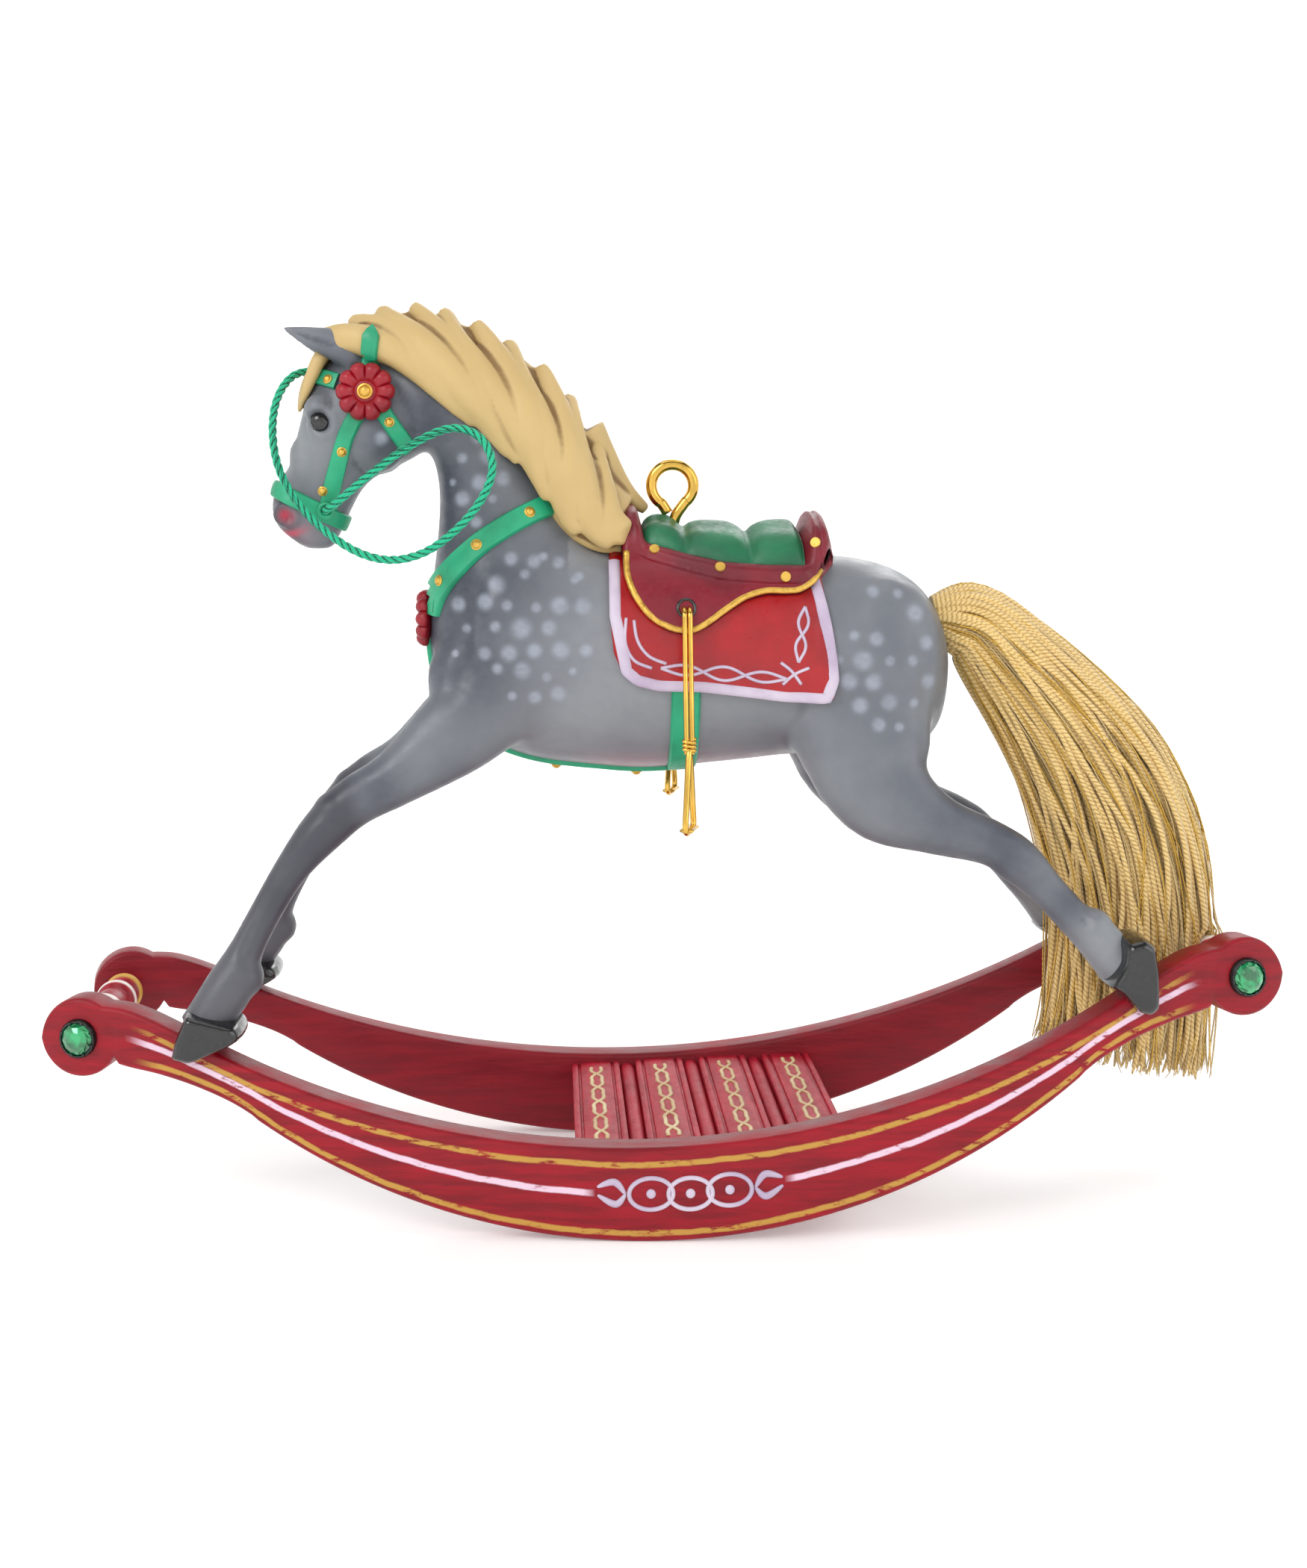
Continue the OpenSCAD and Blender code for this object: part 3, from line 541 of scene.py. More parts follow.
def rocker_finish():
    """Red paint brushed along the grain, darker on the inner side as painted shade, with gold and lilac
    lines set by the distance from either edge.
    """
    f = Finish("rocker_paint", 0.4, specular=0.35)
    grain = f.noise(0.5, 6, (0.22, 1, 2.4), 0.65)
    broken = f.noise(1.1, 5, (0.5, 1, 1.6), 0.7)
    tone = f.blend((118, 0, 18), (156, 2, 28), grain, 0.3, 0.7)
    # the inner half of the board is darker: painted shade
    tone = f.tint(tone, (104, 2, 20), f.value("inside"), 0.45)
    wander = f.times(f.sum("SUBTRACT", f.noise(0.35, 3), 0.5), 0.35)
    top = f.sum("ADD", f.value("from_top"), wander)
    low = f.sum("ADD", f.value("from_low"), wander)
    face = f.value("outer_face")
    kept = f.ramp(broken, 0.36, 0.5)
    gold = f.sum("MAXIMUM", f.band(top, 1.35, 0.24, 0.08), f.band(low, 0.8, 0.24, 0.08))
    gold = f.times(gold, face, kept, f.value("lined"))
    tone = f.mix(gold, tone, colour(188, 142, 62))
    split = f.sum("SUBTRACT", f.value("from_low"), f.times(f.value("height"), 0.52))
    lilac = f.band(f.sum("ADD", split, wander), 0.0, 0.27, 0.08)
    lilac = f.times(lilac, face, f.value("lilac_line"), f.ramp(broken, 0.3, 0.45))
    tone = f.mix(lilac, tone, colour(226, 196, 214))
    f.paint(tone).gloss(grain, 0.3, 0.52)
    return f.bump((grain, 0.07), (broken, 0.03), (f.noise(3, 2), 0.01))


def deck_finish():
    """Rose red dry-brushed across the boards, with the darker coat showing through."""
    f = Finish("deck_paint", 0.46, specular=0.25)
    grain = f.noise(0.5, 5, (1.8, 0.25, 1), 0.65)
    dry = f.noise(1.2, 6, (1, 0.6, 1), 0.75)
    tone = f.blend((150, 10, 32), (186, 32, 54), grain, 0.3, 0.7)
    tone = f.mix(f.ramp(dry, 0.58, 0.7, 0, 0.6), tone, colour(120, 18, 40))
    f.paint(tone).gloss(dry, 0.38, 0.58)
    return f.bump((grain, 0.05), (dry, 0.04))


PLY_PITCH = 0.9


def thread_finish(name, light, dark, metallic=0.0, rough=0.5):
    """Plied thread: the ply shows as slanting bands set by the place along and round each thread, darker in
    the grooves as painted shade; threads deep in the bunch get painted shade too.
    """
    f = Finish(name, rough, metallic=metallic, sheen=0.0 if metallic else 0.35)
    turn = f.sum("ADD", f.times(f.value("along"), TURN / PLY_PITCH),
                 f.times(f.value("round"), TURN))
    ply = f.sum("ABSOLUTE", f.sum("SINE", turn))
    # darker in the grooves between the plies, lighter on their crests: painted shade and painted light
    tone = f.blend(dark, light, ply, 0.05, 0.75)
    # shade darkens threads deep in the bunch: painted shade
    tone = f.tint(tone, dark, f.value("shade"), 0.45)
    f.paint(f.mix(f.ramp(f.noise(0.25, 3), 0.4, 0.75, 0, 0.35), tone, colour(*light)))
    return f.bump((ply, 0.07), (f.noise(9, 2), 0.015))


def rope_finish():
    """Fibres along each strand, with painted sheen as lighter streaks, and painted shade where the strands
    meet.
    """
    f = Finish("rope_fibre", 0.45, sheen=0.12, specular=0.35)
    fibre = f.sum("SINE", f.sum("ADD", f.times(f.value("along"), 9.0),
                                f.times(f.value("round"), 5 * TURN)))
    # darker where the strands meet: painted shade
    tone = f.blend((6, 184, 136), (0, 76, 56), f.value("deep"), 0.1, 0.9)
    # lighter streaks along the fibres: painted sheen
    tone = f.mix(f.ramp(fibre, -0.4, 1, 0, 0.25), tone, colour(90, 222, 184))
    f.paint(tone)
    return f.bump((fibre, 0.03), (f.noise(7, 2), 0.015))


# ---- the camera, at the photograph's place ----
camera = bpy.data.objects.new("camera", bpy.data.cameras.new("camera"))
bpy.context.scene.collection.objects.link(camera)
camera.location = [-9.87 * MM, -178 * MM, 62 * MM]
camera.rotation_euler = [math.radians(90), 0, 0]
camera.data.lens = 43.2
camera.data.shift_x = 0.0667
camera.data.shift_y = -0.1667
camera.data.clip_start = 0.01
camera.data.clip_end = 20
bpy.context.scene.camera = camera
bpy.context.scene.view_settings.view_transform = "Standard"

# ---- the rein, a three-strand rope ----
REIN_DIAMETER = 0.8
rein_points = [
    [-30.6, -1.3, 63.1], [-30.6, -3.2, 63.1], [-29.2, -4.8, 64], [-26.3, -5.4, 66.4], [-22.6, -6, 69],
    [-18.9, -6.4, 70.6], [-16.2, -6.8, 69.8], [-15, -7.2, 67.4], [-15.6, -7.6, 64.8], [-17.6, -7.8, 62],
    [-20.6, -7, 59.6], [-23.8, -5.8, 58.6], [-27, -5, 59.1], [-30.2, -4.6, 61], [-33, -4.6, 63.8],
    [-34.8, -4.2, 67], [-35.5, -3.4, 70.4], [-35.3, -1.8, 73.6], [-34.1, 0.4, 75.9], [-32.2, 2.8, 76.3],
    [-30.9, 4.6, 74], [-30.6, 5.2, 70.6], [-30.7, 5.2, 67], [-30.7, 4.4, 64], [-30.6, 3.2, 63.1],
    [-30.6, 1.3, 63.1],
]


def rope(path, radius, strands=3, pitch=2.7):
    """Strands laid round each other along the path."""
    path = resample(path, 0.16)
    run = unit(np.gradient(path, axis=0))
    side = np.array([1.0, 0, 0])
    across = np.zeros_like(path)
    for i, r in enumerate(run):
        side = unit(side - r * (side @ r))
        across[i] = side
    out = np.cross(run, across)
    along = np.arange(len(path)) * 0.16
    strand = radius * 0.54
    pile = Pile()
    for k in range(strands):
        t = TURN * (along / pitch + k / strands)
        middle = path + (radius - strand) * (np.cos(t)[:, None] * across + np.sin(t)[:, None] * out)
        sides = 9
        part = tube(middle, strand, sides)
        ring = np.tile(np.arange(sides) / sides, len(path))
        towards = np.linalg.norm(part[0][:-2] - np.repeat(path, sides, 0), axis=1) / radius
        # deep is 1 on each strand's inner side, where the finish paints shade between the strands
        pile.add(part, along=np.r_[np.repeat(along, sides), 0, 0], round=np.r_[ring, 0, 0],
                 deep=np.r_[1 - step(towards, 0.7, 0.98), 0, 0])
    return pile


rein_path = smooth(rein_points, 6)
rein = piece("rein_rope", rope(rein_path, REIN_DIAMETER / 2), rope_finish(),
             replaces=["rein_cord"], edge=180)
rein_length = float(np.linalg.norm(np.diff(rein_path, axis=0), axis=1).sum())

# ---- the horse's body ----
TORSO_Z = 49.3
BARREL = 8.2
trunk_rings = [
    [27.7, 50.6, 27.6, 47, 1.8], [26.5, 54.2, 26.7, 42.6, BARREL - 3.4], [24, 57, 24, 40.6, BARREL - 1.2],
    [20, 58.6, 20, 39.9, BARREL], [14, 59.2, 14, 40.2, BARREL], [8, 59.3, 8, 39.6, BARREL - 0.1],
    [0, 59.6, 0, 38.9, BARREL], [-5, 60, -5, 39.1, BARREL], [-6.6, 61.2, -12, 40, BARREL - 0.2],
    [-7.8, 62.8, -17.4, 42.6, BARREL - 1], [-9, 64.8, -20.6, 47.6, BARREL - 2],
    [-10.3, 67.2, -21.1, 53.6, 5.4], [-11.9, 69.9, -20.5, 59.4, 4.8], [-13.9, 72.7, -20.2, 64.8, 4.3],
    [-16.7, 75.5, -21.1, 68.6, 4], [-20.4, 77.9, -22.9, 68, 3.9], [-25, 79.2, -24.7, 67, 3.7],
    [-29.2, 78.4, -26.3, 66.3, 3.7], [-32.2, 75.2, -27.6, 65, 3.5], [-33.4, 71.3, -28.6, 63.1, 3.0],
    [-34.3, 67.6, -29.6, 60.9, 2.5], [-35.6, 65.6, -30.7, 59.8, 2.3], [-36, 63.3, -32.2, 59.5, 2.2],
    [-35.4, 61.6, -33.3, 59.9, 1.6],
]
front_leg_line = [
    [-12.5, 48, 5, 2.6, -3.8], [-17.6, 43.4, 4.3, 3.0, -5.4], [-23.5, 39, 2.7, 2.4, -6.9],
    [-27.4, 36.8, 2.3, 2.1, -7.7], [-30.2, 34.3, 2.1, 2.1, -8.3], [-32.9, 31, 1.6, 1.6, -8.9],
    [-35, 27.5, 1.45, 1.5, -9.5], [-36.8, 24, 1.55, 1.6, -10.2], [-38.1, 21, 2.2, 2, -10.8],
    [-39.8, 18.4, 2.1, 2.1, -11.3], [-40.4, 17.2, 2.3, 2.2, -11.5],
]
hind_leg_line = [
    [18.8, 48, 6, 3, -3.8], [19.2, 42, 6.3, 3.2, -5.4], [20.9, 37.4, 4.9, 2.9, -6.6],
    [25, 34.8, 2.9, 2.5, -7.6], [29.8, 33.2, 2.1, 2.1, -8.4], [32.3, 31.6, 2.1, 1.9, -8.8],
    [34.8, 29.1, 1.65, 1.5, -9.3], [37, 26.7, 1.65, 1.6, -9.9], [39, 24.9, 2.0, 1.9, -10.5],
    [41, 22.4, 2.1, 2.1, -11.1],
]


def line_loft(line, sides=20, steps=5):
    """Elliptical sections along a line in the side view."""
    s = smooth(line, steps)
    run = unit(np.gradient(s[:, :2], axis=0))
    t = turns(sides)[None]
    x = s[:, 0:1] - run[:, 1:2] * s[:, 2:3] * np.cos(t)
    z = s[:, 1:2] + run[:, 0:1] * s[:, 2:3] * np.cos(t)
    y = s[:, 4:5] + s[:, 3:4] * np.sin(t)
    return loft(np.stack([x, y, z], -1))


def trunk():
    """Head, neck and barrel from sections given as back [x, z], belly [x, z] and half width."""
    r = smooth(trunk_rings, 5)
    s = np.linspace(0, len(trunk_rings) - 1, len(r))
    narrow = 0.16 * step(s, 7, 12) * (1 - step(s, 16, 19)) - 0.05 * (1 - step(s, 7, 9))
    t = turns(44)[None]
    back, belly = r[:, None, 0:2], r[:, None, 2:4]
    middle = (back + belly) / 2 + (back - belly) / 2 * np.cos(t)[..., None]
    y = r[:, 4:5] * np.sin(t) * (1 - narrow[:, None] * np.cos(t))
    return loft(np.stack([middle[..., 0], y, middle[..., 1]], -1))


def horse_shape():
    """Trunk, legs, muscles and ears fused to one skin, with the torso relaxed the most."""
    pile = Pile()
    pile.add(trunk())
    pile.both(line_loft(front_leg_line))
    pile.both(line_loft(hind_leg_line))
    muscles = [
        [(-12.6, -4.9, 51), (4.6, 3.7, 8.2), -24], [(-17, -3.6, 47.2), (4.2, 3.5, 5), -10],
        [(20.4, -4.6, 49.4), (6.2, 4.2, 8), 8], [(16.6, -5.2, 42.2), (4.2, 3.1, 5.2), -20],
        [(-26.4, -1.8, 70.1), (3.2, 2.3, 3.6), -20], [(-34.5, -1.5, 62.9), (1.3, 1.0, 1.3), 0],
        [(-31.4, -2.2, 73), (1.5, 1.5, 1.1), -30], [(-31.2, 0, 60.4), (1.3, 1.5, 0.9), 0],
        [(-29.2, -8.0, 35.7), (2.1, 2.2, 2.2), 30], [(32.2, -8.8, 31.4), (2.4, 1.9, 1.9), 30],
        [(-37.4, -10.7, 21.6), (2.3, 1.9, 2.0), 0], [(38.6, -10.4, 25.6), (1.9, 1.8, 2.1), 0],
        [(-32.6, -0.9, 66), (1.4, 1.2, 4), -15],
    ]
    for centre, radii, tilt in muscles:
        pile.both(ball(centre, radii, tilt))
    ear = [[-27.9, 76.6, 1.0, 1.2, -2.1], [-28.6, 77.8, 1.5, 1.2, -2.3], [-30.2, 78.7, 1.45, 1.0, -2.6],
           [-31.9, 79.2, 1.1, 0.8, -2.9], [-33.4, 79.7, 0.65, 0.5, -3.1], [-34.6, 80.1, 0.2, 0.2, -3.2]]
    pile.both(line_loft(ear, 14))
    part = remeshed(pile, 0.3, 7)
    x, z = part[0][:, 0], part[0][:, 2]
    return softened(part, step(z, 37, 42) * step(x, -23, -18), 60)


def nearness(points, line):
    """Distance of each point from a line of route points on its own side of the horse."""
    route = resample(smooth(line, 4), 0.35)
    near = np.full(len(points), 1e9)
    side = np.abs(points[:, 1])
    for r in route:
        near = np.minimum(near, (points[:, 0] - r[0]) ** 2 + (side - r[1]) ** 2
                          + (points[:, 2] - r[2]) ** 2)
    return np.sqrt(near)


def sculpt(part):
    """Presses the creases and raises the lids and lips."""
    points = part[0]
    out = normals(part)
    grooves = [
        ([[-6.6, 8, 57], [-7.2, 8.6, 51], [-8.6, 8.6, 46], [-11.5, 8, 42.4]], 1.3, 0.26),
        ([[13.8, 8, 53], [13.2, 8.4, 47], [12.4, 8.2, 43]], 1.1, 0.3),
        ([[-24.4, 3.8, 75.6], [-22.6, 4, 72], [-22.4, 3.6, 69.4]], 0.7, 0.3),
        ([[-16.6, 7, 56], [-17.6, 7, 50], [-19, 6.4, 45]], 1.0, 0.3),
        ([[23.4, 7, 52], [24.6, 7.4, 46], [24.4, 8, 40.5]], 0.9, 0.25),
        ([[-35.6, 1.0, 61.1], [-34.4, 2.2, 61.2], [-33, 2.6, 61.5], [-31.8, 2.6, 61.9]], 0.26, 0.34),
        ([[-28.6, 3.3, 66], [-27.4, 3.9, 68], [-27.6, 3.9, 70.4]], 0.7, 0.14),
        ([[-33.6, 10.7, 31], [-35.6, 11.2, 27.6], [-37, 11.6, 24]], 0.4, 0.16),
        ([[34, 10.7, 31.4], [36, 11.2, 28.6], [37.8, 11.7, 26.4]], 0.4, 0.16),
        ([[-29.6, 3.1, 78.3], [-31.4, 3.7, 78.9], [-33.2, 3.6, 79.5]], 0.42, 0.45),
        ([[4, 0, 38], [10, 0, 39.4], [14, 0, 39.8]], 0.25, 0.07),
        ([[-15, 10, 43], [-20, 9.6, 40.4], [-25, 9.6, 37.8]], 0.8, 0.16),
        ([[20, 9.6, 40], [24, 10, 36.6], [29, 10.4, 34]], 0.8, 0.18),
    ]
    push = np.zeros(len(points))
    for line, radius, depth in grooves:
        push -= depth * hill(nearness(points, line), radius)
    head = points[:, 0] < -24
    nostril = nearness(points, [[-34.5, 2.3, 62.7], [-34.2, 2.5, 62.5]])
    push += head * (0.22 * hill(nostril - 0.85, 0.3) - 0.5 * hill(nostril, 0.45))
    eye = nearness(points, [[-31.3, 3.4, 71.5], [-31.0, 3.5, 71.2]])
    push += head * (0.26 * hill(eye - 1.25, 0.32) - 0.35 * hill(eye, 0.85))
    return points + out * push[:, None], part[1], part[2]


def dapples():
    """Soft spots scattered on an uneven net over the shoulder, neck, cheek and rump."""
    patches = [[-12.4, 52.4, 6.6, 7.2], [-16.4, 66, 2.6, 4], [-25, 70, 2, 2.4], [20.8, 49.6, 5, 8],
               [-9.6, 57, 3, 2]]
    spots = []
    pitch = 2.35
    for x0, z0, wide, high in patches:
        for i in range(-4, 5):
            for k in range(-5, 6):
                x = x0 + (i + 0.5 * (k % 2)) * pitch + rng.normal(0, 0.18)
                z = z0 + k * pitch * 0.87 + rng.normal(0, 0.18)
                inside = ((x - x0) / wide) ** 2 + ((z - z0) / high) ** 2
                size = rng.uniform(0.5, 1.05)
                if inside < 1 and rng.random() < 0.82:
                    spots.append([x, z, size * (1 - 0.25 * inside)])
    return spots


def coat_values(part):
    """Where the coat is dappled, darkened (its dark points and painted shade), lightened (paler paint, and
    painted light on the top of the back), pink or dark, and which creases get painted shade.
    """
    points = part[0]
    x, y, z = points.T
    dapple = np.zeros(len(points))
    for sx, sz, r in dapples():
        dapple = np.maximum(dapple, hill(np.hypot(x - sx, z - sz), r))
    dapple *= step(np.abs(y), 2.2, 4)
    # dark patches: partly the coat's darker paint at the knees and hocks, partly painted shade where the
    # neck, legs and body shade each other
    dark_and_shaded_patches = [
        ([-17.4, 6, 56], 6), ([-16, 5, 48], 4.4), ([-29.4, 8.2, 35.4], 3.2), ([-25, 8, 38], 2.6),
        ([31, 8.6, 32.6], 3.6), ([36.4, 9.8, 28], 2), ([-20, 4, 62], 3.6), ([-19.4, 4, 66], 3),
        ([-34.4, 9.8, 28.6], 2.2), ([26, 7.6, 35], 3), ([-24.6, 3.6, 69], 2.4),
        ([-30.6, 3, 76], 2), ([-20.6, 3, 50], 3), ([21, 6, 38], 2.4), ([-21, 3.6, 72], 3.4),
        ([-31.5, 8.6, 33], 2.4),
    ]
    dark_points_and_shade = np.zeros(len(points))
    for (cx, cy, cz), r in dark_and_shaded_patches:
        away = np.sqrt((x - cx) ** 2 + (np.abs(y) - cy) ** 2 + (z - cz) ** 2)
        dark_points_and_shade = dark_points_and_shade + 0.9 * hill(away, r) * (1 - dark_points_and_shade)
    # painted shade on the inner faces of the legs, below the belly
    inner = (1 - step(np.abs(y), 6, 9)) * (z < 38) * (np.abs(x) > 20)
    dark_points_and_shade = np.clip(dark_points_and_shade + 0.35 * inner, 0, 1)
    # painted light on the top of the back; lighter patches on the barrel's side, the lower legs, the face
    # and by the elbow
    pale = 0.5 * step(z, 56.5, 59.5) * (x > -8) + 0.6 * hill(np.hypot(x - 1, z - 50), 9) * (np.abs(y) > 4)
    pale = pale + 0.55 * hill(np.hypot(x + 38.6, z - 20), 4) + 0.5 * hill(np.hypot(x - 39, z - 24), 3.6)
    pale = pale + 0.5 * hill(np.hypot(x + 33.4, z - 68.6), 2.6) + 0.4 * hill(np.hypot(x + 9, z - 42), 4)
    blush = (1 - step(z, 38.9, 41.6)) * step(x, -9, -4) * (1 - step(x, 10, 15)) * (np.abs(y) < 8)
    blush = blush + 0.5 * hill(np.hypot(x + 33, z - 60.6), 1.4)
    muzzle = 0.85 * (1 - step(x + 0.25 * (z - 62), -34.6, -32.4)) * (z < 66)
    lip = hill(nearness(points, [[-34.5, 2.3, 62.7], [-34.2, 2.5, 62.5]]), 0.5)
    mouth = nearness(points, [[-35.4, 0.8, 60.9], [-34.4, 2, 60.8], [-33.4, 2.4, 61.0], [-32.4, 2.6, 61.4]])
    lip = np.clip(lip + hill(mouth, 0.38), 0, 1)
    # hollow marks the skin's creases, which the coat darkens as painted shade
    return {"dapple": dapple, "dark_points_and_shade": dark_points_and_shade, "pale": np.clip(pale, 0, 1), "blush": np.clip(blush, 0, 1),
            "muzzle": muzzle, "lip": lip, "hollow": step(hollowness(part, 10), 0.72, 1.0)}


horse = sculpt(horse_shape())
piece("horse_skin", horse, coat_finish(), replaces=["body_near_half", "body_far_half"],
      edge=180,
      values=coat_values(horse))
skin = Surface(horse)


# ---- shared finishes ----
red_paint = painted("saddle_red_paint", (128, 8, 34), (98, 4, 24), 0.42)
rosette_paint = painted("rosette_red_paint", (158, 12, 34), (112, 4, 20), 0.38)
green_paint = painted("strap_green_paint", (36, 170, 124), (24, 138, 98), 0.42)
lilac_paint = painted("lilac_paint", (206, 194, 210), (176, 158, 184), 0.45, 0.02)
gilt = gold_paint()
black_gloss = painted("black_enamel", (16, 16, 19), (8, 8, 10), 0.2, 0.006, coat=0.6)
plated = polished("plated_brass", (236, 190, 92), 0.13)


# ---- eyes and hooves ----
for side, name in SIDES:
    eye = Pile().add(ball((-31.15, side * 2.8, 71.35), (1.02, 0.74, 0.93), 30, 24, 36))
    piece("eye_ball_" + name, eye, black_gloss, replaces=["eye_" + name], edge=180)


def hoof(outline, side):
    """A rounded wedge across the rocker, wider at the sole."""
    points = resample(outline + outline[:1], 0.5)[:-1]
    middle = points.mean(0)
    rings = []
    for y, share in ((-3.1, 0.5), (-3.05, 0.82), (-2.75, 0.95), (-1.6, 1.02), (0, 1.04),
                     (1.6, 1.02), (2.75, 0.95), (3.05, 0.82), (3.1, 0.5)):
        ring = middle + (points - middle) * share
        rings.append(np.stack([ring[:, 0], np.full(len(ring), side * 11.35 + y), ring[:, 1]], 1))
    return remeshed(Pile().add(loft(rings)), 0.2, 3)


front_hoof = [[-42.9, 15.1], [-42.6, 16.6], [-41.6, 19], [-37.1, 17.9], [-36.7, 16.9], [-37.8, 16.2],
              [-41.3, 14.7]]
hind_hoof = [[39.1, 21.4], [40.4, 23.4], [40.6, 25.3], [42, 25.7], [43, 25.1], [43.4, 22.6], [43.4, 19.5],
             [42.8, 18.9], [41.8, 19.1], [40, 21]]
for end, outline in (("front", front_hoof), ("hind", hind_hoof)):
    for side, name in SIDES:
        piece("hoof_%s_%s_horn" % (end, name), hoof(outline, side), black_gloss,
              replaces=["hoof_%s_%s" % (end, name)], edge=180)


# ---- mane and forelock ----
crest = [[-30.6, 79.6], [-27.6, 80.9], [-24.4, 81.8], [-21.2, 81.8], [-18, 80.8], [-14.6, 79.1],
         [-11.2, 76.7], [-8.2, 73.6], [-5.8, 70], [-3.6, 66.6], [-1.4, 63.8]]
lower = [[-29.4, 78.2], [-26.2, 77], [-23.2, 75.8], [-19.8, 73.7], [-16.6, 71.5], [-13.8, 69.2],
         [-11.6, 67], [-9.8, 64.8], [-8.2, 62.4], [-6.2, 60.9], [-3.6, 60.2]]
crest_line, lower_line = smooth(crest, 10), smooth(lower, 10)


def mane_place(a, b, side, lift):
    """A point a along the neck from poll to withers and b down from the crest to the mane's lower edge."""
    k = np.clip(a, 0, 1) * (len(crest_line) - 1)
    top = np.array([np.interp(k, np.arange(len(crest_line)), crest_line[:, c]) for c in (0, 1)])
    low = np.array([np.interp(k, np.arange(len(lower_line)), lower_line[:, c]) for c in (0, 1)])
    p = top + (low - top) * b
    swell = math.sin(min(b * 1.25, 1) * math.pi / 2) ** 0.8
    roof = (3.2 + 1.6 * a) * swell + lift * 0.4
    on_skin = 0
    if b > 0.3:
        on_skin = max(abs(skin.beside(p[0], p[1], side, 0)[1]) * step(b, 0.05, 0.75) + lift, 0.2)
    return np.array([p[0], side * max(roof, on_skin), p[1]])


def mane():
    """A low roof over the crest, with ten swept locks on each side and three that end by the saddle."""
    pile = Pile()
    rings = []
    for a in np.linspace(0.0, 0.97, 30):
        half = [mane_place(a, b, -1, 0.1) for b in (0.98, 0.85, 0.7, 0.5, 0.3, 0.12)]
        ridge = mane_place(a, 0.0, -1, 0.0) * [1, 0, 1]
        ring = half + [ridge] + [h * [1, -1, 1] for h in half[::-1]]
        ring += [half[0] * [1, -0.5, 1], half[0] * [1, 0.5, 1]]
        rings.append(ring)
    pile.add(loft(rings))
    for side in (-1, 1):
        starts = np.linspace(-0.02, 0.8, 10)
        for j, a0 in enumerate(starts):
            sweep = 0.36 - 0.14 * a0
            wave = 0.022 * (1 if j % 2 else -1)
            route = []
            for t in np.linspace(0, 1, 9):
                a = a0 + sweep * t ** 1.25 + wave * math.sin(t * 5)
                b = -0.04 * (1 - t) ** 3 + min(1.03, 1.05 * t ** 0.9)
                route.append(mane_place(a, max(b, 0), side, 0.3 + 0.4 * math.sin(t * math.pi))
                             + [0, 0, 0.55 * math.exp(-(t / 0.12) ** 2)])
            route = smooth(route, 6)
            route[:, 1] = side * np.maximum(side * route[:, 1], -0.3)
            t = np.linspace(0, 1, len(route))
            size = 1.65 * np.sin(np.pi * (0.05 + 0.87 * t)) ** 0.55 * rng.uniform(0.88, 1.12)
            pile.add(tube(route, size, 14, flat=0.85, up=(0, 1, 0)))
        for a0, spread, drop in ((0.7, 0.26, 0), (0.76, 0.22, 0.7), (0.82, 0.19, 1.5)):
            tip = [[-7.6, 64.4 + drop], [-6.6, 61.8 + drop], [-4.8, 60.4 + drop * 0.9], [-2.6, 60.2 + drop]]
            route = [mane_place(a0 + spread * t, 0.25 + 0.6 * t, side, 0.8) for t in (0, 0.3, 0.6, 0.85)]
            route += [skin.beside(x, z, side, 0.75 + 0.2 * drop) for x, z in tip]
            route = smooth(route, 6)
            t = np.linspace(0, 1, len(route))
            pile.add(tube(route, 1.35 * np.sin(np.pi * (0.2 + 0.77 * t)) ** 0.7, 12, flat=0.7,
                          up=(0, 1, 0)))
    tail_lock = smooth([[-6.5, 0, 70.6], [-4.4, 0.4, 67], [-2.6, 0.8, 64.8], [-0.6, 1.2, 63.2]], 6)
    pile.add(tube(tail_lock, np.linspace(2.1, 0.5, len(tail_lock)), 12))
    return remeshed(pile, 0.24, 5)


hair = hair_finish("cream_hair_paint", (198, 170, 114), (118, 86, 44))
mane_shape = mane()
piece("mane_locks", mane_shape, hair, replaces=["mane"], edge=180,
      values={"hollow": hollowness(mane_shape, 16)})


def forelock():
    """Seven short locks from the poll down the forehead."""
    pile = Pile()
    for k in range(7):
        spread = (k - 3) / 3
        edge = abs(spread)
        route = smooth([[-28.6, 0.6 * spread, 79.6], [-30.1, 1.3 * spread, 78.8],
                        [-31.3, 1.6 * spread - 0.2, 77.4], [-32.3 + 0.3 * edge, 1.7 * spread - 0.4, 75.8],
                        [-33 + 0.4 * edge, 1.5 * spread - 0.6, 74.2],
                        [-33.4 + 0.5 * edge, 1.1 * spread - 0.7, 72.4 + 0.9 * edge]], 6)
        t = np.linspace(0, 1, len(route))
        pile.add(tube(route, 0.72 * np.sin(np.pi * (0.3 + 0.66 * t)) ** 0.7, 10))
    return remeshed(pile, 0.16, 2)


forelock_shape = forelock()
piece("forelock_locks", forelock_shape, hair, replaces=["forelock"], edge=180,
      values={"hollow": hollowness(forelock_shape, 5)})


# ---- straps on the skin ----
STRAP = 0.42
strap_rows = [(-1, -0.3), (-0.96, 0.55), (-0.84, 0.92), (-0.4, 1), (0, 1), (0.4, 1), (0.84, 0.92),
              (0.96, 0.55), (1, -0.3)]


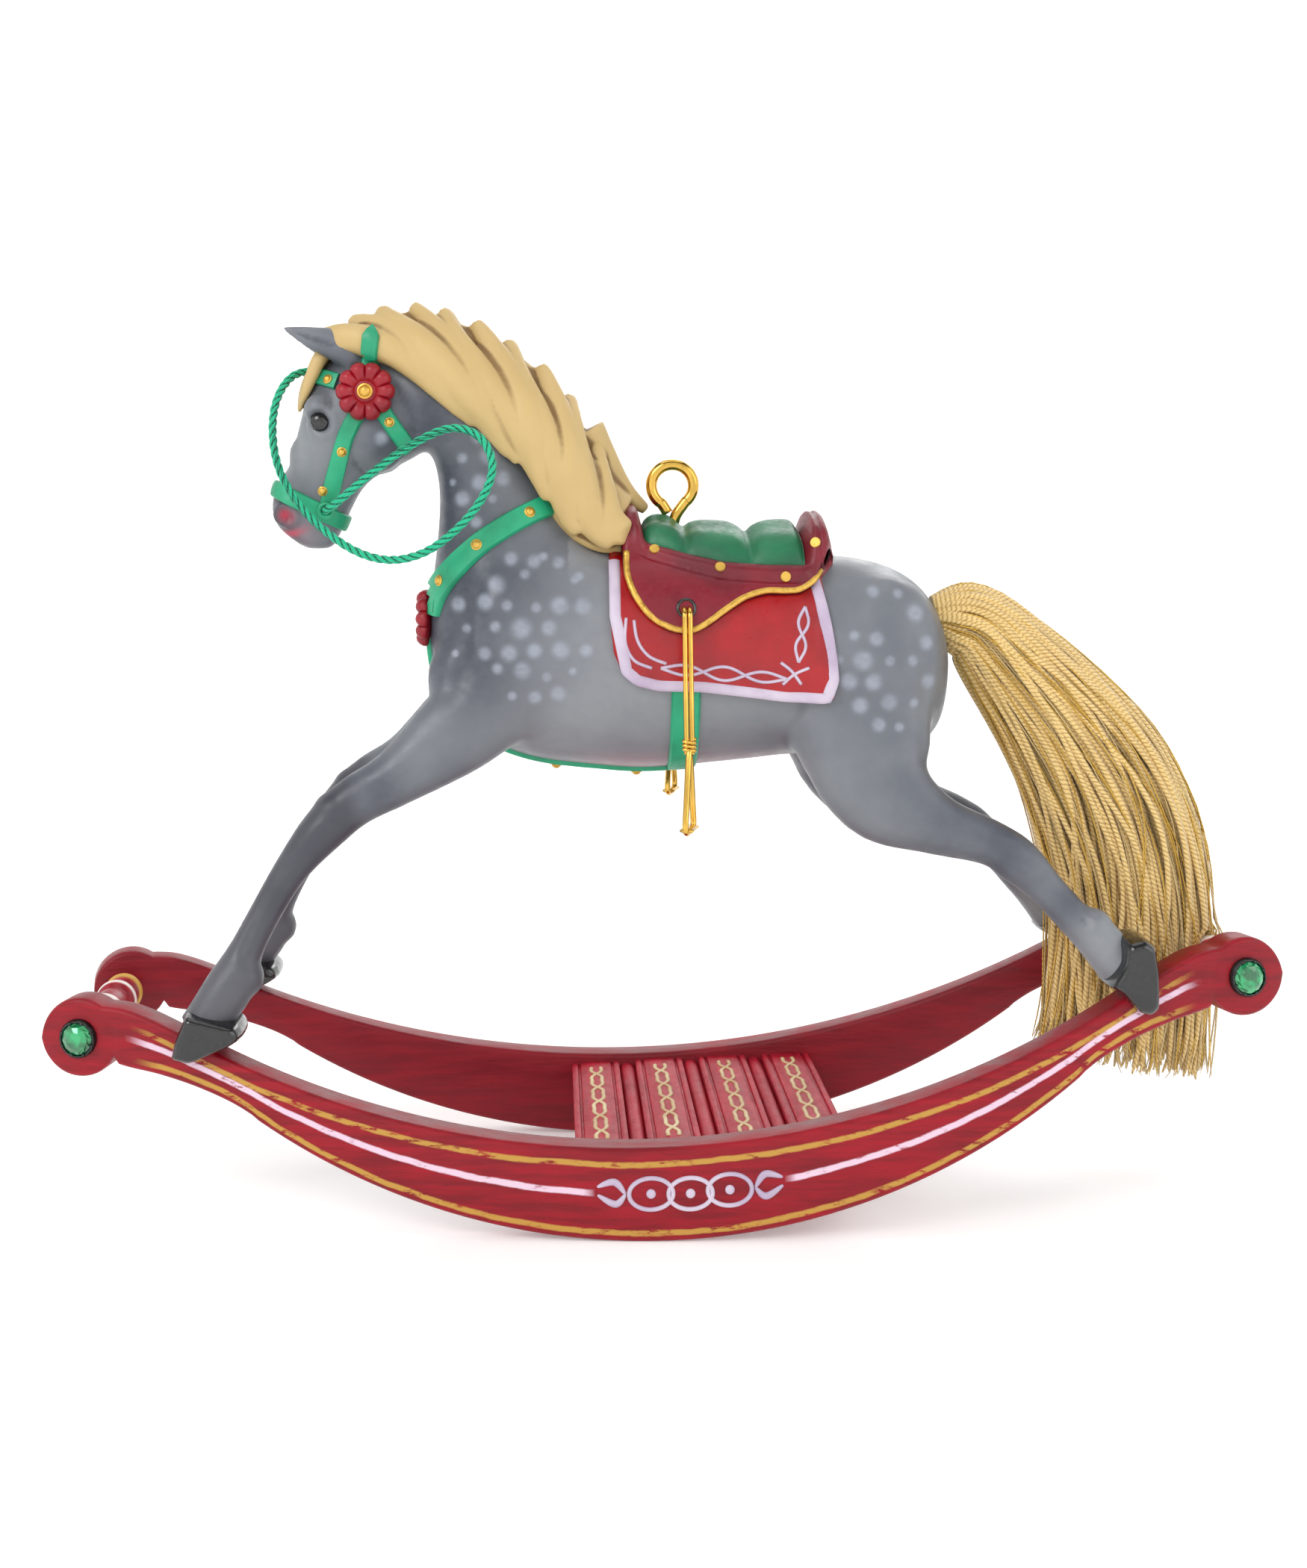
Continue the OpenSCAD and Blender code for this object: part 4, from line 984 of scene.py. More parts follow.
def strap(path, width, side, surface=skin, thick=STRAP, pointed=False):
    """A flat strap with rounded edges, seen from the side along [x, z] places."""
    path = resample(smooth(path, 8), 0.4)
    run = unit(np.gradient(path, axis=0))
    across = np.stack([-run[:, 1], run[:, 0]], 1)
    share = np.linspace(0, 1, len(path))
    half = width / 2 * (np.minimum(1, (share + 0.02) * 6) if pointed else np.ones(len(path)))
    rows = []
    for p, n, h in zip(path, across, half):
        places = [(p + n * h * u, rise) for u, rise in strap_rows]
        rows.append([(surface.beside(*q, side, thick * rise), surface.beside(*q, side, -0.3))
                     for q, rise in places])
    return plate(rows)


over_mane = Surface(Pile().add(horse).add(mane_shape).joined()[0])
CROWN = [[-26.2, 80], [-26.4, 78], [-26.7, 75.8]]
bridle_paths = [
    [[-27.4, 72.4], [-28.6, 70.2], [-29.3, 68], [-30, 65.6], [-30.5, 63.4]],
    [[-25.6, 72.8], [-24.4, 71], [-22.9, 68.9]],
]


def head_band(centre, along, first, last, width=1.6):
    """A strap round the head from one turn to another, in the plane of Y and a side-view direction."""
    ahead = unit(np.array([along[0], 0, along[1]], float))
    across = np.array([-ahead[2], 0, ahead[0]])
    rows = []
    for turn in np.radians(np.linspace(first, last, 60)):
        away = math.cos(turn) * ahead + math.sin(turn) * np.array([0, 1.0, 0])
        outside = np.array([centre[0], 0, centre[1]]) + away * 5.5
        starts = [outside + across * u * width / 2 for u, _ in strap_rows]
        hits = [np.array(skin.tree.ray_cast(Vector(s), Vector(-away))[0]) for s in starts]
        rows.append([(h + away * STRAP * rise, h - away * 0.3) for h, (_, rise) in zip(hits, strap_rows)])
    return plate(rows)


bridle = Pile()
for side in (-1, 1):
    bridle.add(strap(CROWN, 1.6, side, over_mane, pointed=True))
    for path in bridle_paths:
        bridle.add(strap(path, 1.6, side))
bridle.add(head_band([-29.4, 75.1], [0.955, -0.296], 95, 265))
bridle.add(head_band([-32.6, 63.7], [0.897, -0.441], 0, 361))
for side in (-1, 1):
    socket = [[-30.6 + 0.62 * math.cos(t), side * 3.15, 63.1 + 0.62 * math.sin(t)] for t in turns(23)]
    bridle.add(tube(socket, 0.2, 8, closed=True))
piece("bridle_straps", bridle, green_paint, replaces=["bridle"])

collar_path = [[-8.6, 64], [-10.9, 63.2], [-13.6, 61.8], [-16.4, 59.9], [-18.9, 57.4], [-20.3, 55.4],
               [-21, 53.6]]
collar = Pile()
for side in (-1, 1):
    collar.add(strap(collar_path, 2.1, side, thick=0.55))
piece("breast_collar_band", collar, green_paint, replaces=["breast_collar"])


def under_band(route, width):
    """A strap along the middle plane, laid on the nearest skin under the trunk."""
    rows = []
    for x, z in route:
        hits = [skin.tree.find_nearest(Vector((x, u * width / 2, z)))[:2] for u, _ in strap_rows]
        rows.append([(hit + out * (STRAP * rise), hit - out * 0.35)
                     for (hit, out), (_, rise) in zip(hits, strap_rows)])
    return plate(rows)


martingale = resample(smooth([[-21.4, 54.5], [-21.8, 51], [-21.6, 48.2], [-20.2, 45.2], [-18, 42.6],
                              [-14.8, 40.8], [-11.4, 39.4], [-7, 38.9], [-2.5, 38.8], [1.6, 38.8]], 8), 0.5)
piece("belly_band", under_band(martingale, 1.9), green_paint,
      replaces=["belly_strap"])


def girth(front, back, first, last, thick):
    """A strap round the torso between two x places, from one turn to another."""
    middle, half = (front + back) / 2, (back - front) / 2
    return plate([[(skin.around(middle + u * half, t, thick * rise),
                    skin.around(middle + u * half, t, -0.3))
                   for u, rise in strap_rows] for t in np.linspace(first, last, 70)])


piece("girth_band", girth(1.2, 3.9, 96, 264, 0.45), green_paint, replaces=["girth"])


# ---- studs ----
def facing(part, place, x_axis, y_axis):
    """Turns a part that faces +Z so that its x and y run along the given directions."""
    x_axis, y_axis = unit(np.asarray(x_axis, float)), unit(np.asarray(y_axis, float))
    basis = np.stack([x_axis, y_axis, np.cross(x_axis, y_axis)])
    return moved(part, lambda p: p @ basis + np.asarray(place, float))


def stud(place, normal, radius=0.52):
    """A domed nail head with a flat rim."""
    normal = unit(np.asarray(normal, float))
    u = unit(np.cross(normal, [0.31, 0.2, 0.93]))
    v = np.cross(normal, u)
    profile = [[0.9, -0.2], [1, 0], [1, 0.1], [0.86, 0.2], [0.78, 0.22], [0.7, 0.42], [0.45, 0.62],
               [0.12, 0.7]]
    return facing(turned(np.array(profile) * radius, 20), place, u, v)


def side_studs(name, places, surface, lift, node, radius=0.52):
    pile = Pile()
    for x, z in places:
        for side in (-1, 1):
            p = surface.beside(x, z, side, lift)
            hit, normal, _, _ = surface.tree.find_nearest(Vector(p))
            pile.add(stud(p, normal, radius))
    return piece(name, pile, gilt, replaces=[node])


side_studs("bridle_stud_heads", [[-29.05, 68.6], [-24.6, 71.3], [-30.3, 75.2], [-30.9, 65]], skin, STRAP,
           "bridle_studs", 0.46)
side_studs("collar_stud_heads", [[-11.8, 62.8], [-16.4, 59.9], [-19.6, 56.6]], skin, 0.55, "collar_studs")
under_studs = Pile()
for x, z in ((-21.8, 47), (-9.2, 39), (-1.6, 38.4)):
    hit, normal, _, _ = skin.tree.find_nearest(Vector((x, 0, z)))
    under_studs.add(stud(np.array(hit + normal * STRAP), normal))
piece("strap_stud_heads", under_studs, gilt, replaces=["strap_studs"])


# ---- rosettes ----
def rosette(radius=2.75, petals=10):
    """Scalloped petals round a button, facing +Z."""
    t = turns(petals * 16)
    lobe = np.abs(np.cos(t * petals / 2))
    rings = []
    for share, high in ((0.06, 0.5), (0.3, 0.5), (0.36, 0.42), (0.42, 0.62), (0.55, 0.92), (0.7, 1.02),
                        (0.82, 0.95), (0.92, 0.72), (0.985, 0.4), (1.0, 0.15), (0.97, -0.1), (0.5, -0.5),
                        (0.05, -0.5)):
        edge = step(share, 0.35, 1)
        r = radius * share * (1 - 0.13 * edge * (1 - lobe ** 0.55))
        z = high * (1 - (0.42 * step(share, 0.36, 0.6)) * (1 - lobe ** 0.5) * (high > 0))
        rings.append(np.stack([r * np.cos(t), r * np.sin(t), z], 1))
    return loft(rings)


button = turned([[0.675, 0.2], [0.75, 0.5], [0.7125, 0.72], [0.5625, 0.78], [0.525, 0.72], [0.375, 0.92],
                 [0.075, 1.02]], 24)
for name, place, x_axis, y_axis in (("near", (-26.8, -4.35, 74.1), (1, 0, 0), (0, 0, 1)),
                                    ("far", (-26.8, 4.35, 74.1), (-1, 0, 0), (0, 0, 1)),
                                    ("chest", (-21.35, 0, 53), (0, -1, 0), (0, 0, 1))):
    petals = Pile().add(facing(rosette(), place, x_axis, y_axis))
    piece("rosette_petals_" + name, petals, rosette_paint, replaces=["rosette_" + name],
          edge=55)
    centre = Pile().add(facing(button, place, x_axis, y_axis))
    piece("rosette_button_" + name, centre, gilt)


# ---- blanket ----
blanket_hem = [[-4.3, 53.5], [-4.1, 50.4], [-3.3, 48.6], [-1.9, 47.4], [0, 46.9], [4, 46.8], [8.3, 46.3],
               [11.4, 45.9], [15.2, 45.7], [15.9, 46.1], [16.2, 47.4]]
flap_hem = [[-3.2, 59.4], [-3.1, 57.6], [-2.4, 55.3], [-0.9, 53.3], [0.9, 52.2], [2.1, 51.9], [3.3, 52],
            [4.6, 52.6], [6.4, 53.9], [8, 54.9], [9.8, 55.4], [11.6, 55.4], [12.9, 55.5], [14.2, 56.2],
            [14.8, 57], [16.3, 58.6]]
BLANKET, FLAP = 0.6, 0.8
BLANKET_X, SADDLE_X = (-4.3, 16.2), (-3.3, 16.4)


def hem_turn(x, table, surface):
    """How far round the torso the hem lies at x, in degrees."""
    level, near, far = lookup(x, table), 0.0, 150.0
    for _ in range(16):
        middle = (near + far) / 2
        if surface.around(x, middle, 0)[2] > level:
            near = middle
        else:
            far = middle
    return near


def wrapped(rows, hem, surface, cols, height, flare=0.0):
    """A cloth over the back; `height` says how thick at (x, turn, share of the way to the hem)."""
    x0, x1 = rows[0], rows[-1]
    lines = []
    for x in rows:
        reach = hem_turn(x, hem, surface)
        back = max(0.0, (x - x0) / (x1 - x0))
        line = []
        for u in np.linspace(-1, 1, cols):
            place = x - flare * back ** 2 * (1 - u * u)
            rise = height(x, u * reach, abs(u))
            line.append((surface.around(place, u * reach, rise), surface.around(place, u * reach, -0.75)))
        lines.append(line)
    return plate(lines)


def edge_round(share, x, x0, x1, depth):
    """Rounds a plate off towards its hem and ends."""
    side = np.clip((1 - share) * 12, 0, 1)
    ends = np.clip(min(x - x0, x1 - x) / 0.35, 0, 1)
    return depth * (0.35 + 0.65 * math.sqrt(max(0, 1 - (1 - min(side * 2, 1)) ** 2))) * (0.35 + 0.65 * ends)


rows = np.r_[-4.3, -4.2, np.linspace(-4, 15.9, 62), 16.1, 16.2]
blanket_shape = wrapped(rows, blanket_hem, skin, 73,
                        lambda x, t, u: edge_round(u, x, *BLANKET_X, BLANKET), flare=1.3)
blanket_paint = painted("blanket_red_paint", (170, 0, 14), (138, 0, 10), 0.34, 0.01, coat=0.15)
piece("blanket_cloth", blanket_shape, blanket_paint, replaces=["blanket"], edge=60)
cloth = Surface(blanket_shape, skin, BLANKET)


def hem_route(inset):
    """Places along the blanket's front, lower and rear edges, inset from the hem."""
    x0, x1 = BLANKET_X
    front = [[x0 + inset, z] for z in np.arange(58.5, 53, -1)]
    low = [[x, lookup(x, blanket_hem) + inset] for x in np.linspace(x0 + inset, x1 - inset, 40)]
    rear = [[x1 - inset - 0.1 * k - 0.012 * k * k, 47.4 + inset + 1.15 * k] for k in range(0, 9)]
    return resample(front + low[2:-1] + rear, 0.3)


def line_on(surface, places, side, radius, lift=0.0, sides=8, flat=0.5):
    """A raised line laid on a surface along [x, z] places, leaving out points that fell elsewhere."""
    route = np.array([surface.beside(x, z, side, lift) for x, z in places])
    gaps = np.linalg.norm(np.diff(route, axis=0), axis=1)
    route = route[np.r_[True, gaps < 1.5]]
    return tube(route, radius, sides, flat=flat, up=(0, 1, 0))


border = Pile()
for side in (-1, 1):
    border.add(line_on(cloth, hem_route(0.42), side, 0.52, 0.0, 10, 0.4))
piece("blanket_border", border, lilac_paint, edge=60)


def interlace(start, end, waves, wide):
    """Two crossing waves between two places of the side view."""
    start, end = np.array(start, float), np.array(end, float)
    along = unit(end - start)
    across = np.array([-along[1], along[0]])
    t = np.linspace(0, 1, 18 * waves)[:, None]
    swing = wide * np.sin(t * math.pi * waves) * (0.45 + 0.55 * np.sin(t * math.pi))
    return [start + (end - start) * t + across * swing * s for s in (1, -1)]


scrolls = Pile()
for side in (-1, 1):
    lines = interlace([0.2, 48.9], [11.6, 47.9], 3, 0.62) + interlace([12.6, 49.4], [13.3, 54.4], 2, 0.55)
    lines += [smooth([[-2.9, 53.4], [-3, 51.2], [-2.2, 49.6], [-0.6, 48.9]], 8),
              smooth([[-2.2, 53.2], [-1.9, 51.4], [-0.9, 50], [0.7, 49.3]], 8),
              smooth([[11, 49.4], [12, 48.6], [12.9, 47.4]], 8),
              smooth([[11.2, 47.4], [12.2, 48.3], [13.6, 48.9]], 8)]
    for places in lines:
        scrolls.add(line_on(cloth, resample(places, 0.25), side, 0.15, 0.0, 6, 0.7))
piece("blanket_scrolls", scrolls, lilac_paint, edge=180)


# ---- saddle, seat, piping ----
seat_edge = [[-1.4, 20], [0, 23], [3, 29], [6, 33.5], [10, 35.5], [13.4, 36]]


def saddle_height(x, turn, share):
    """The flap's thickness with pommel, cantle, the welt round the seat and a pressed seam."""
    turn = abs(turn)
    high = edge_round(share, x, *SADDLE_X, FLAP)
    edge = float(lookup(x, seat_edge))
    pommel = 2.7 * math.exp(-(abs(x + 2.25) / 1.02) ** 4) * (1 - float(step(turn, 15, 34)))
    cantle = 2.7 * math.exp(-(abs(x - 14.9) / 1.15) ** 4) * (1 - float(step(turn, 24, 44)))
    between = float(step(x, -2.4, -1.2)) * (1 - float(step(x, 13.2, 14.4)))
    welt = 0.55 * math.exp(-((turn - edge - 4.2) / 3.6) ** 4) * between
    seam = -0.22 * math.exp(-((turn - edge - 9.4) / 0.9) ** 2) * float(step(x, -2.6, -1.8)) * (share < 0.93)
    return max(high + pommel + cantle + welt + seam, 0.15)


rows = np.r_[-3.3, -3.2, np.linspace(-3.05, 16.2, 88), 16.35, 16.4]
saddle_shape = wrapped(rows, flap_hem, cloth, 121, saddle_height)
piece("saddle_tree", saddle_shape, red_paint, replaces=["saddle"], edge=180)
leather = Surface(saddle_shape, cloth, FLAP)
hem = resample(smooth([[-2.75, 59.4], [-2.75, 57.4], [-2.1, 55.5], [-0.7, 53.6], [1, 52.6], [2.2, 52.35],
                       [3.2, 52.4], [4.5, 53.1], [6.2, 54.3], [7.9, 55.3], [9.8, 55.85], [11.6, 55.85],
                       [12.9, 56], [14.2, 56.8], [14.9, 57.7]], 8), 0.25)
for side, name in SIDES:
    bead = Pile().add(line_on(leather, hem, side, 0.3, 0.02, 10, 0.8))
    piece("piping_bead_" + name, bead, gilt, replaces=["saddle_piping_" + name], edge=180)
    t = turns(28)
    rim = [leather.beside(2.5 + 0.78 * math.cos(a), 54.3 + 0.78 * math.sin(a), side, 0.02) for a in t]
    piece("stirrup_eyelet_" + name, Pile().add(tube(rim, 0.16, 8, closed=True)), black_gloss,
          edge=180)

seat_height = [[-1.4, 0.2], [-0.9, 1.4], [0, 2.0], [1.2, 2.0], [2, 1.6], [2.7, 1.0], [3.4, 1.4],
               [4.4, 1.65], [5.8, 1.7], [7, 1.6], [7.9, 1.2], [8.6, 0.7], [9.3, 1.3], [10.4, 1.75],
               [12, 1.9], [12.9, 1.75], [13.5, 0.9]]
seat_curve = smooth(seat_height, 6)


def seat():
    """The quilted cushion, a lens across the back that rises and falls along it."""
    lines = []
    for x in np.linspace(-1.4, 13.5, 90):
        reach = float(lookup(x, seat_edge)) + 1.5
        line = []
        for u in np.linspace(-1, 1, 61):
            crown = (1 - abs(u) ** 3.2) ** 0.62
            tuck = 0.9 + 0.1 * math.cos(u * 9)
            rise = 0.7 + float(lookup(x, seat_curve)) * crown * tuck
            line.append((cloth.around(x, u * reach, rise), cloth.around(x, u * reach, 0.1)))
        lines.append(line)
    return plate(lines)


seat_paint = painted("seat_green_paint", (24, 118, 78), (16, 90, 58), 0.44, 0.015)
cushion = piece("seat_pad", seat(), seat_paint, replaces=["seat_cushion"], edge=180)
side_studs("saddle_stud_heads", [[-0.2, 59.6], [5.7, 58], [11.6, 57.1], [14.4, 60.2]], leather, 0.0,
           "saddle_studs", 0.5)


# ---- hanging eye: an open loop on a threaded shank ----
def hanging_eye():
    """Wire bent to a ring over its shank, which has a screw thread."""
    x, z, radius, wire = 1.8, 65.5, 1.98, 0.525
    bend = np.linspace(math.radians(-52), math.radians(240), 60)
    loop = [[x + radius * math.cos(a), 0.16 * (i / 59 - 0.5), z + radius * math.sin(a)]
            for i, a in enumerate(bend)]
    neck = [[x + 0.1, 0, 56], [x + 0.1, 0, 60], [x + 0.1, 0, 61.6], [x + 0.35, -0.1, 62.7]]
    path = smooth(np.vstack([neck, loop, [[x - 0.42, 0.1, 62.9]]]), 3)
    pile = Pile().add(tube(path, wire, 20))
    t = np.linspace(0, 9 * TURN, 300)
    thread = np.stack([x + 0.5 * np.cos(t), 0.5 * np.sin(t), 54.2 + t / TURN * 0.75], 1)
    pile.add(tube(thread, 0.14, 6))
    return pile


piece("hanging_eye_wire", hanging_eye(), plated, replaces=["eye_screw"], edge=180)


# ---- stirrups ----
def stirrup(side):
    """A doubled wire from the flap down to a small pointed iron with a tread."""
    x, z, pin = 2.5, 54.3, 9.7
    drop = [[pin - 3.6, z], [pin - 1, z], [pin + 0.05, z - 0.3], [pin + 0.45, z - 1.5], [10.9, 49],
            [12.1, 43.6], [12.4, 41.6]]
    pile = Pile()
    for shift in (-0.25, 0.25):
        pile.add(tube(smooth([[x + shift, side * y, h] for y, h in drop], 8), 0.235, 12))
    head = [[x + 0.55 * math.cos(t), side * (pin - 3.4), z + 0.55 * math.sin(t)] for t in turns(23)]
    pile.add(tube(head, 0.3, 10, closed=True))
    wrap = [[x + 0.5 * math.cos(t), side * (12.36 + 0.24 * math.sin(t)), 41.9 + t * 0.055]
            for t in np.linspace(0, 3 * TURN, 60)]
    pile.add(tube(wrap, 0.16, 8))
    c, s = math.cos(math.radians(16)), math.sin(math.radians(16))
    iron = [[0, 41.9], [0.5, 40.6], [1.25, 37.4], [1.7, 35.5], [1.3, 34.9], [0, 34.8], [-1.3, 34.9],
            [-1.7, 35.5], [-1.25, 37.4], [-0.5, 40.6]]
    ring = [[x + s * w, side * 12.4 + c * w, h] for w, h in smooth(iron, 8, closed=True)]
    pile.add(tube(ring, 0.29, 12, closed=True))
    tread = [[x + s * w, side * 12.4 + c * w, 35.05] for w in np.linspace(-1.35, 1.35, 9)]
    pile.add(tube(tread, 0.62, 14, flat=0.34, up=(0, 0, 1)))
    return pile


for side, name in SIDES:
    piece("stirrup_wire_" + name, stirrup(side), plated, body="stirrup_" + name,
          replaces=["stirrup_" + name], edge=180)


# ---- tail of embroidery floss ----
tail_line = [
    [26.4, 53, 2.7, 2.2], [28.2, 53, 3.3, 2.6], [30.6, 52.3, 3.7, 3], [33.5, 49.3, 4.6, 3.5],
    [38, 43.8, 5.9, 4.1], [41.6, 38.2, 7, 4.5], [43.9, 32.4, 7.5, 4.8], [44.9, 26, 7.4, 5],
    [44.9, 20, 7.5, 5], [44.4, 14, 7.6, 4.9], [44, 11.2, 7.8, 5],
]
tail_spine = smooth(tail_line, 6)
SPINDLE = [51.9, 21.6]


def tail_thread(rho, phi, ends_at, wander, loose=0.0):
    """One thread's route: its place in the bunch stays, with slow waves, and it clears the rear spindle."""
    share = np.linspace(0, ends_at, 34)
    k = share * (len(tail_spine) - 1)
    s = np.stack([np.interp(k, np.arange(len(tail_spine)), tail_spine[:, c]) for c in range(4)], 1)
    run = unit(np.gradient(s[:, :2], axis=0))
    open_up = 0.7 + 0.3 * step(share, 0.0, 0.15)
    r = rho * open_up * (1 + loose * share ** 2)
    turn = phi + wander[0] * 0.25 * np.sin(share * wander[1] + wander[2])
    deep = s[:, 2] * r * np.cos(turn) + 0.3 * np.sin(share * wander[3] + wander[2]) * share
    wide = s[:, 3] * r * np.sin(turn) + 0.3 * np.cos(share * wander[3] * 1.3) * share
    x = s[:, 0] - run[:, 1] * deep
    z = s[:, 1] + run[:, 0] * deep
    away = np.hypot(x - SPINDLE[0], z - SPINDLE[1])
    push = np.maximum(0, 2.3 - away) * (np.abs(wide) < 7)
    x = x + (x - SPINDLE[0]) / np.maximum(away, 0.3) * push
    z = z + (z - SPINDLE[1]) / np.maximum(away, 0.3) * push
    return np.stack([x, wide, np.maximum(z, 9.2)], 1)


def threads(count, radius, layers, sides=5, loose=0.0, ends=(0.93, 1.0)):
    """Threads spread through the bunch between two shares of its width."""
    pile = Pile()
    for i in range(count):
        rho = layers[0] + (layers[1] - layers[0]) * rng.random() ** 0.6
        phi = i * 2.39996 + rng.normal(0, 0.1)
        wander = rng.uniform([-1, 5, 0, 8], [1, 11, 6, 20])
        route = tail_thread(rho, phi, rng.uniform(*ends), wander, loose * rng.random())
        part = tube(route, radius * np.r_[np.full(len(route) - 3, 1.0), 0.85, 0.6, 0.3], sides)
        run = np.r_[0, np.cumsum(np.linalg.norm(np.diff(route, axis=0), axis=1))]
        ring = np.tile(np.arange(sides) / sides, len(route))
        # shade is painted shade for threads deep in the bunch, with some random spread
        pile.add(part, along=np.r_[np.repeat(run, sides), 0, run[-1]], round=np.r_[ring, 0, 0],
                 shade=1 - rho * 0.9 + rng.uniform(-0.15, 0.3))
    return pile


floss = thread_finish("tail_floss_fibre", (236, 204, 134), (188, 146, 76))
piece("tail_threads", threads(330, 0.27, (0.45, 1.0), ends=(0.88, 1.0)), floss,
      replaces=["tail_floss"], edge=180)
piece("tail_ends", threads(150, 0.09, (0.6, 1.0), 3, 0.16, (0.95, 1.0)), floss, edge=180)
metal_thread = thread_finish("tail_metal_thread", (244, 206, 110), (170, 122, 40), metallic=0.9, rough=0.28)
piece("tail_glints", threads(46, 0.075, (0.95, 1.03), 4, 0.08), metal_thread, edge=180)


# ---- rockers ----
ARC = [-2, 62]
LEAN = math.radians(3)


def leaning(points):
    """From the level rocker to the horse's resting lean."""
    p = np.array(points, float)
    x, z = p[..., 0].copy(), p[..., 2] - ARC[1]
    p[..., 0] = ARC[0] + x * math.cos(LEAN) - z * math.sin(LEAN)
    p[..., 2] = ARC[1] + x * math.sin(LEAN) + z * math.cos(LEAN)
    return p


def bow(x, from_middle=14.5):
    return from_middle - (250 - np.sqrt(250.0 ** 2 - np.asarray(x, float) ** 2))


DISC_X, DISC_Z, DISC_R = 51.7, 18.8, 3.5
GARLAND_X = 1.3


def low_edge(x):
    x = np.abs(x)
    arc = 62 - np.sqrt(62.0 ** 2 - np.minimum(x, 37.5) ** 2)
    neck = lookup(x, smooth([[34, 10.15], [37.5, 12.63], [41, 14.3], [44.4, 15.45], [47.2, 16.1],
                             [48.9, 16.6]], 8))
    disc = DISC_Z - np.sqrt(np.maximum(0, DISC_R ** 2 - (x - DISC_X) ** 2))
    return np.where(x < 36, arc, np.where(x > 48.6, disc, neck))


def high_edge(x):
    x = np.abs(x)
    arc = 96.1 - np.sqrt(88.0 ** 2 - np.minimum(x, 44) ** 2)
    neck = lookup(x, smooth([[40, 17.72], [43, 19.35], [45.6, 20.6], [47.6, 21.3], [49.4, 21.55]], 8))
    disc = DISC_Z + np.sqrt(np.maximum(0, DISC_R ** 2 - (x - DISC_X) ** 2))
    return np.where(x < 42, arc, np.where(x > 49.3, np.maximum(disc, DISC_Z), neck))


def rocker(side):
    """A bowed board with rounded corners, and the values its paint is set out by."""
    tip = DISC_X + DISC_R
    xs = np.r_[np.linspace(-48, 48, 190),
               48 + (tip - 48) * np.sin(np.linspace(0.03, math.pi / 2 - 0.004, 26))]
    xs = np.r_[-xs[:189:-1], xs]
    corner, half = 0.42, 1.5
    bend = [(math.cos(a), math.sin(a)) for a in np.linspace(0, math.pi / 2, 4)]
    rings, values = [], {"from_top": [], "from_low": [], "outer_face": [], "inside": [], "height": [],
                         "lined": [],
                         "lilac_line": []}
    for x in xs:
        low, high = float(low_edge(x)), float(high_edge(x))
        middle, tall = (low + high) / 2, max((high - low) / 2, 0.02)
        c = min(corner, tall * 0.9)
        ring = []
        for sy, sz, order in ((1, 1, bend), (-1, 1, bend[::-1]), (-1, -1, bend), (1, -1, bend[::-1])):
            for u, v in order:
                ring.append((sy * (half - c + c * u), sz * (tall - c + c * v)))
        angle = side * math.asin(x / 250)
        for y, z in ring:
            rings.append([x + y * math.sin(angle), side * float(bow(x)) + y * math.cos(angle), middle + z])
            outer = y * side > 0
            values["from_top"].append(tall - z)
            values["from_low"].append(tall + z)
            values["height"].append(2 * tall)
            values["outer_face"].append(1.0 if outer and abs(y) > half - 0.05 else 0.0)
            # inside is 1 on the board's inner half, which the paint darkens as painted shade
            values["inside"].append(0.0 if outer else 1.0)
            values["lined"].append(float(1 - step(abs(x), 44, 47)))
            values["lilac_line"].append(float(step(abs(x - GARLAND_X), 8.4, 8.9)
                                              * (1 - step(abs(x), 45, 47.5))))
    rings = np.array(rings).reshape(len(xs), 16, 3)
    part = loft(leaning(rings))
    return part, {key: np.r_[v, v[0], v[-1]] for key, v in values.items()}


def on_rocker(x, z, side, proud):
    """A place on the rocker's outer face, level coordinates."""
    return [x, side * (float(bow(x)) + (1.5 + proud) * math.cos(math.asin(x / 250))), z]


def ornament(side):
    """A little garland in the middle of the outer face: three linked rings between pairs of leaves."""
    pile = Pile()
    for k in (-1, 0, 1):
        cx, cz = GARLAND_X + 3.4 * k, 4.1 + 0.012 * (3.4 * k) ** 2
        ring = [on_rocker(cx + 1.9 * math.cos(t), cz + 1.35 * math.sin(t), side, 0.03) for t in turns(39)]
        pile.add(tube(leaning(ring), 0.2, 8, closed=True))
        pile.add(moved(ball((0, 0, 0), (0.42, 0.16, 0.42), rows=8, cols=12),
                       lambda p, cx=cx, cz=cz: leaning(p + on_rocker(cx, cz, side, 0.02))))
    for turn in (-1, 1):
        for rise in (-1, 1):
            leaf = smooth([[GARLAND_X + turn * 5.6, 4.3], [GARLAND_X + turn * 6.5, 4.45 + rise * 0.95],
                           [GARLAND_X + turn * 8, 4.7 + rise * 0.35]], 8)
            route = leaning([on_rocker(x, z, side, 0.03) for x, z in leaf])
            share = np.linspace(0, 1, len(route))
            pile.add(tube(route, 0.1 + 0.22 * np.sin(share * math.pi), 8, flat=0.6))
    return pile


red_wood = rocker_finish()
for side, name in SIDES:
    shape, values = rocker(side)
    piece("rocker_board_" + name, shape, red_wood, replaces=["rocker_" + name], edge=50,
          values=values)
    piece("rocker_ornament_" + name, ornament(side), lilac_paint, edge=180)


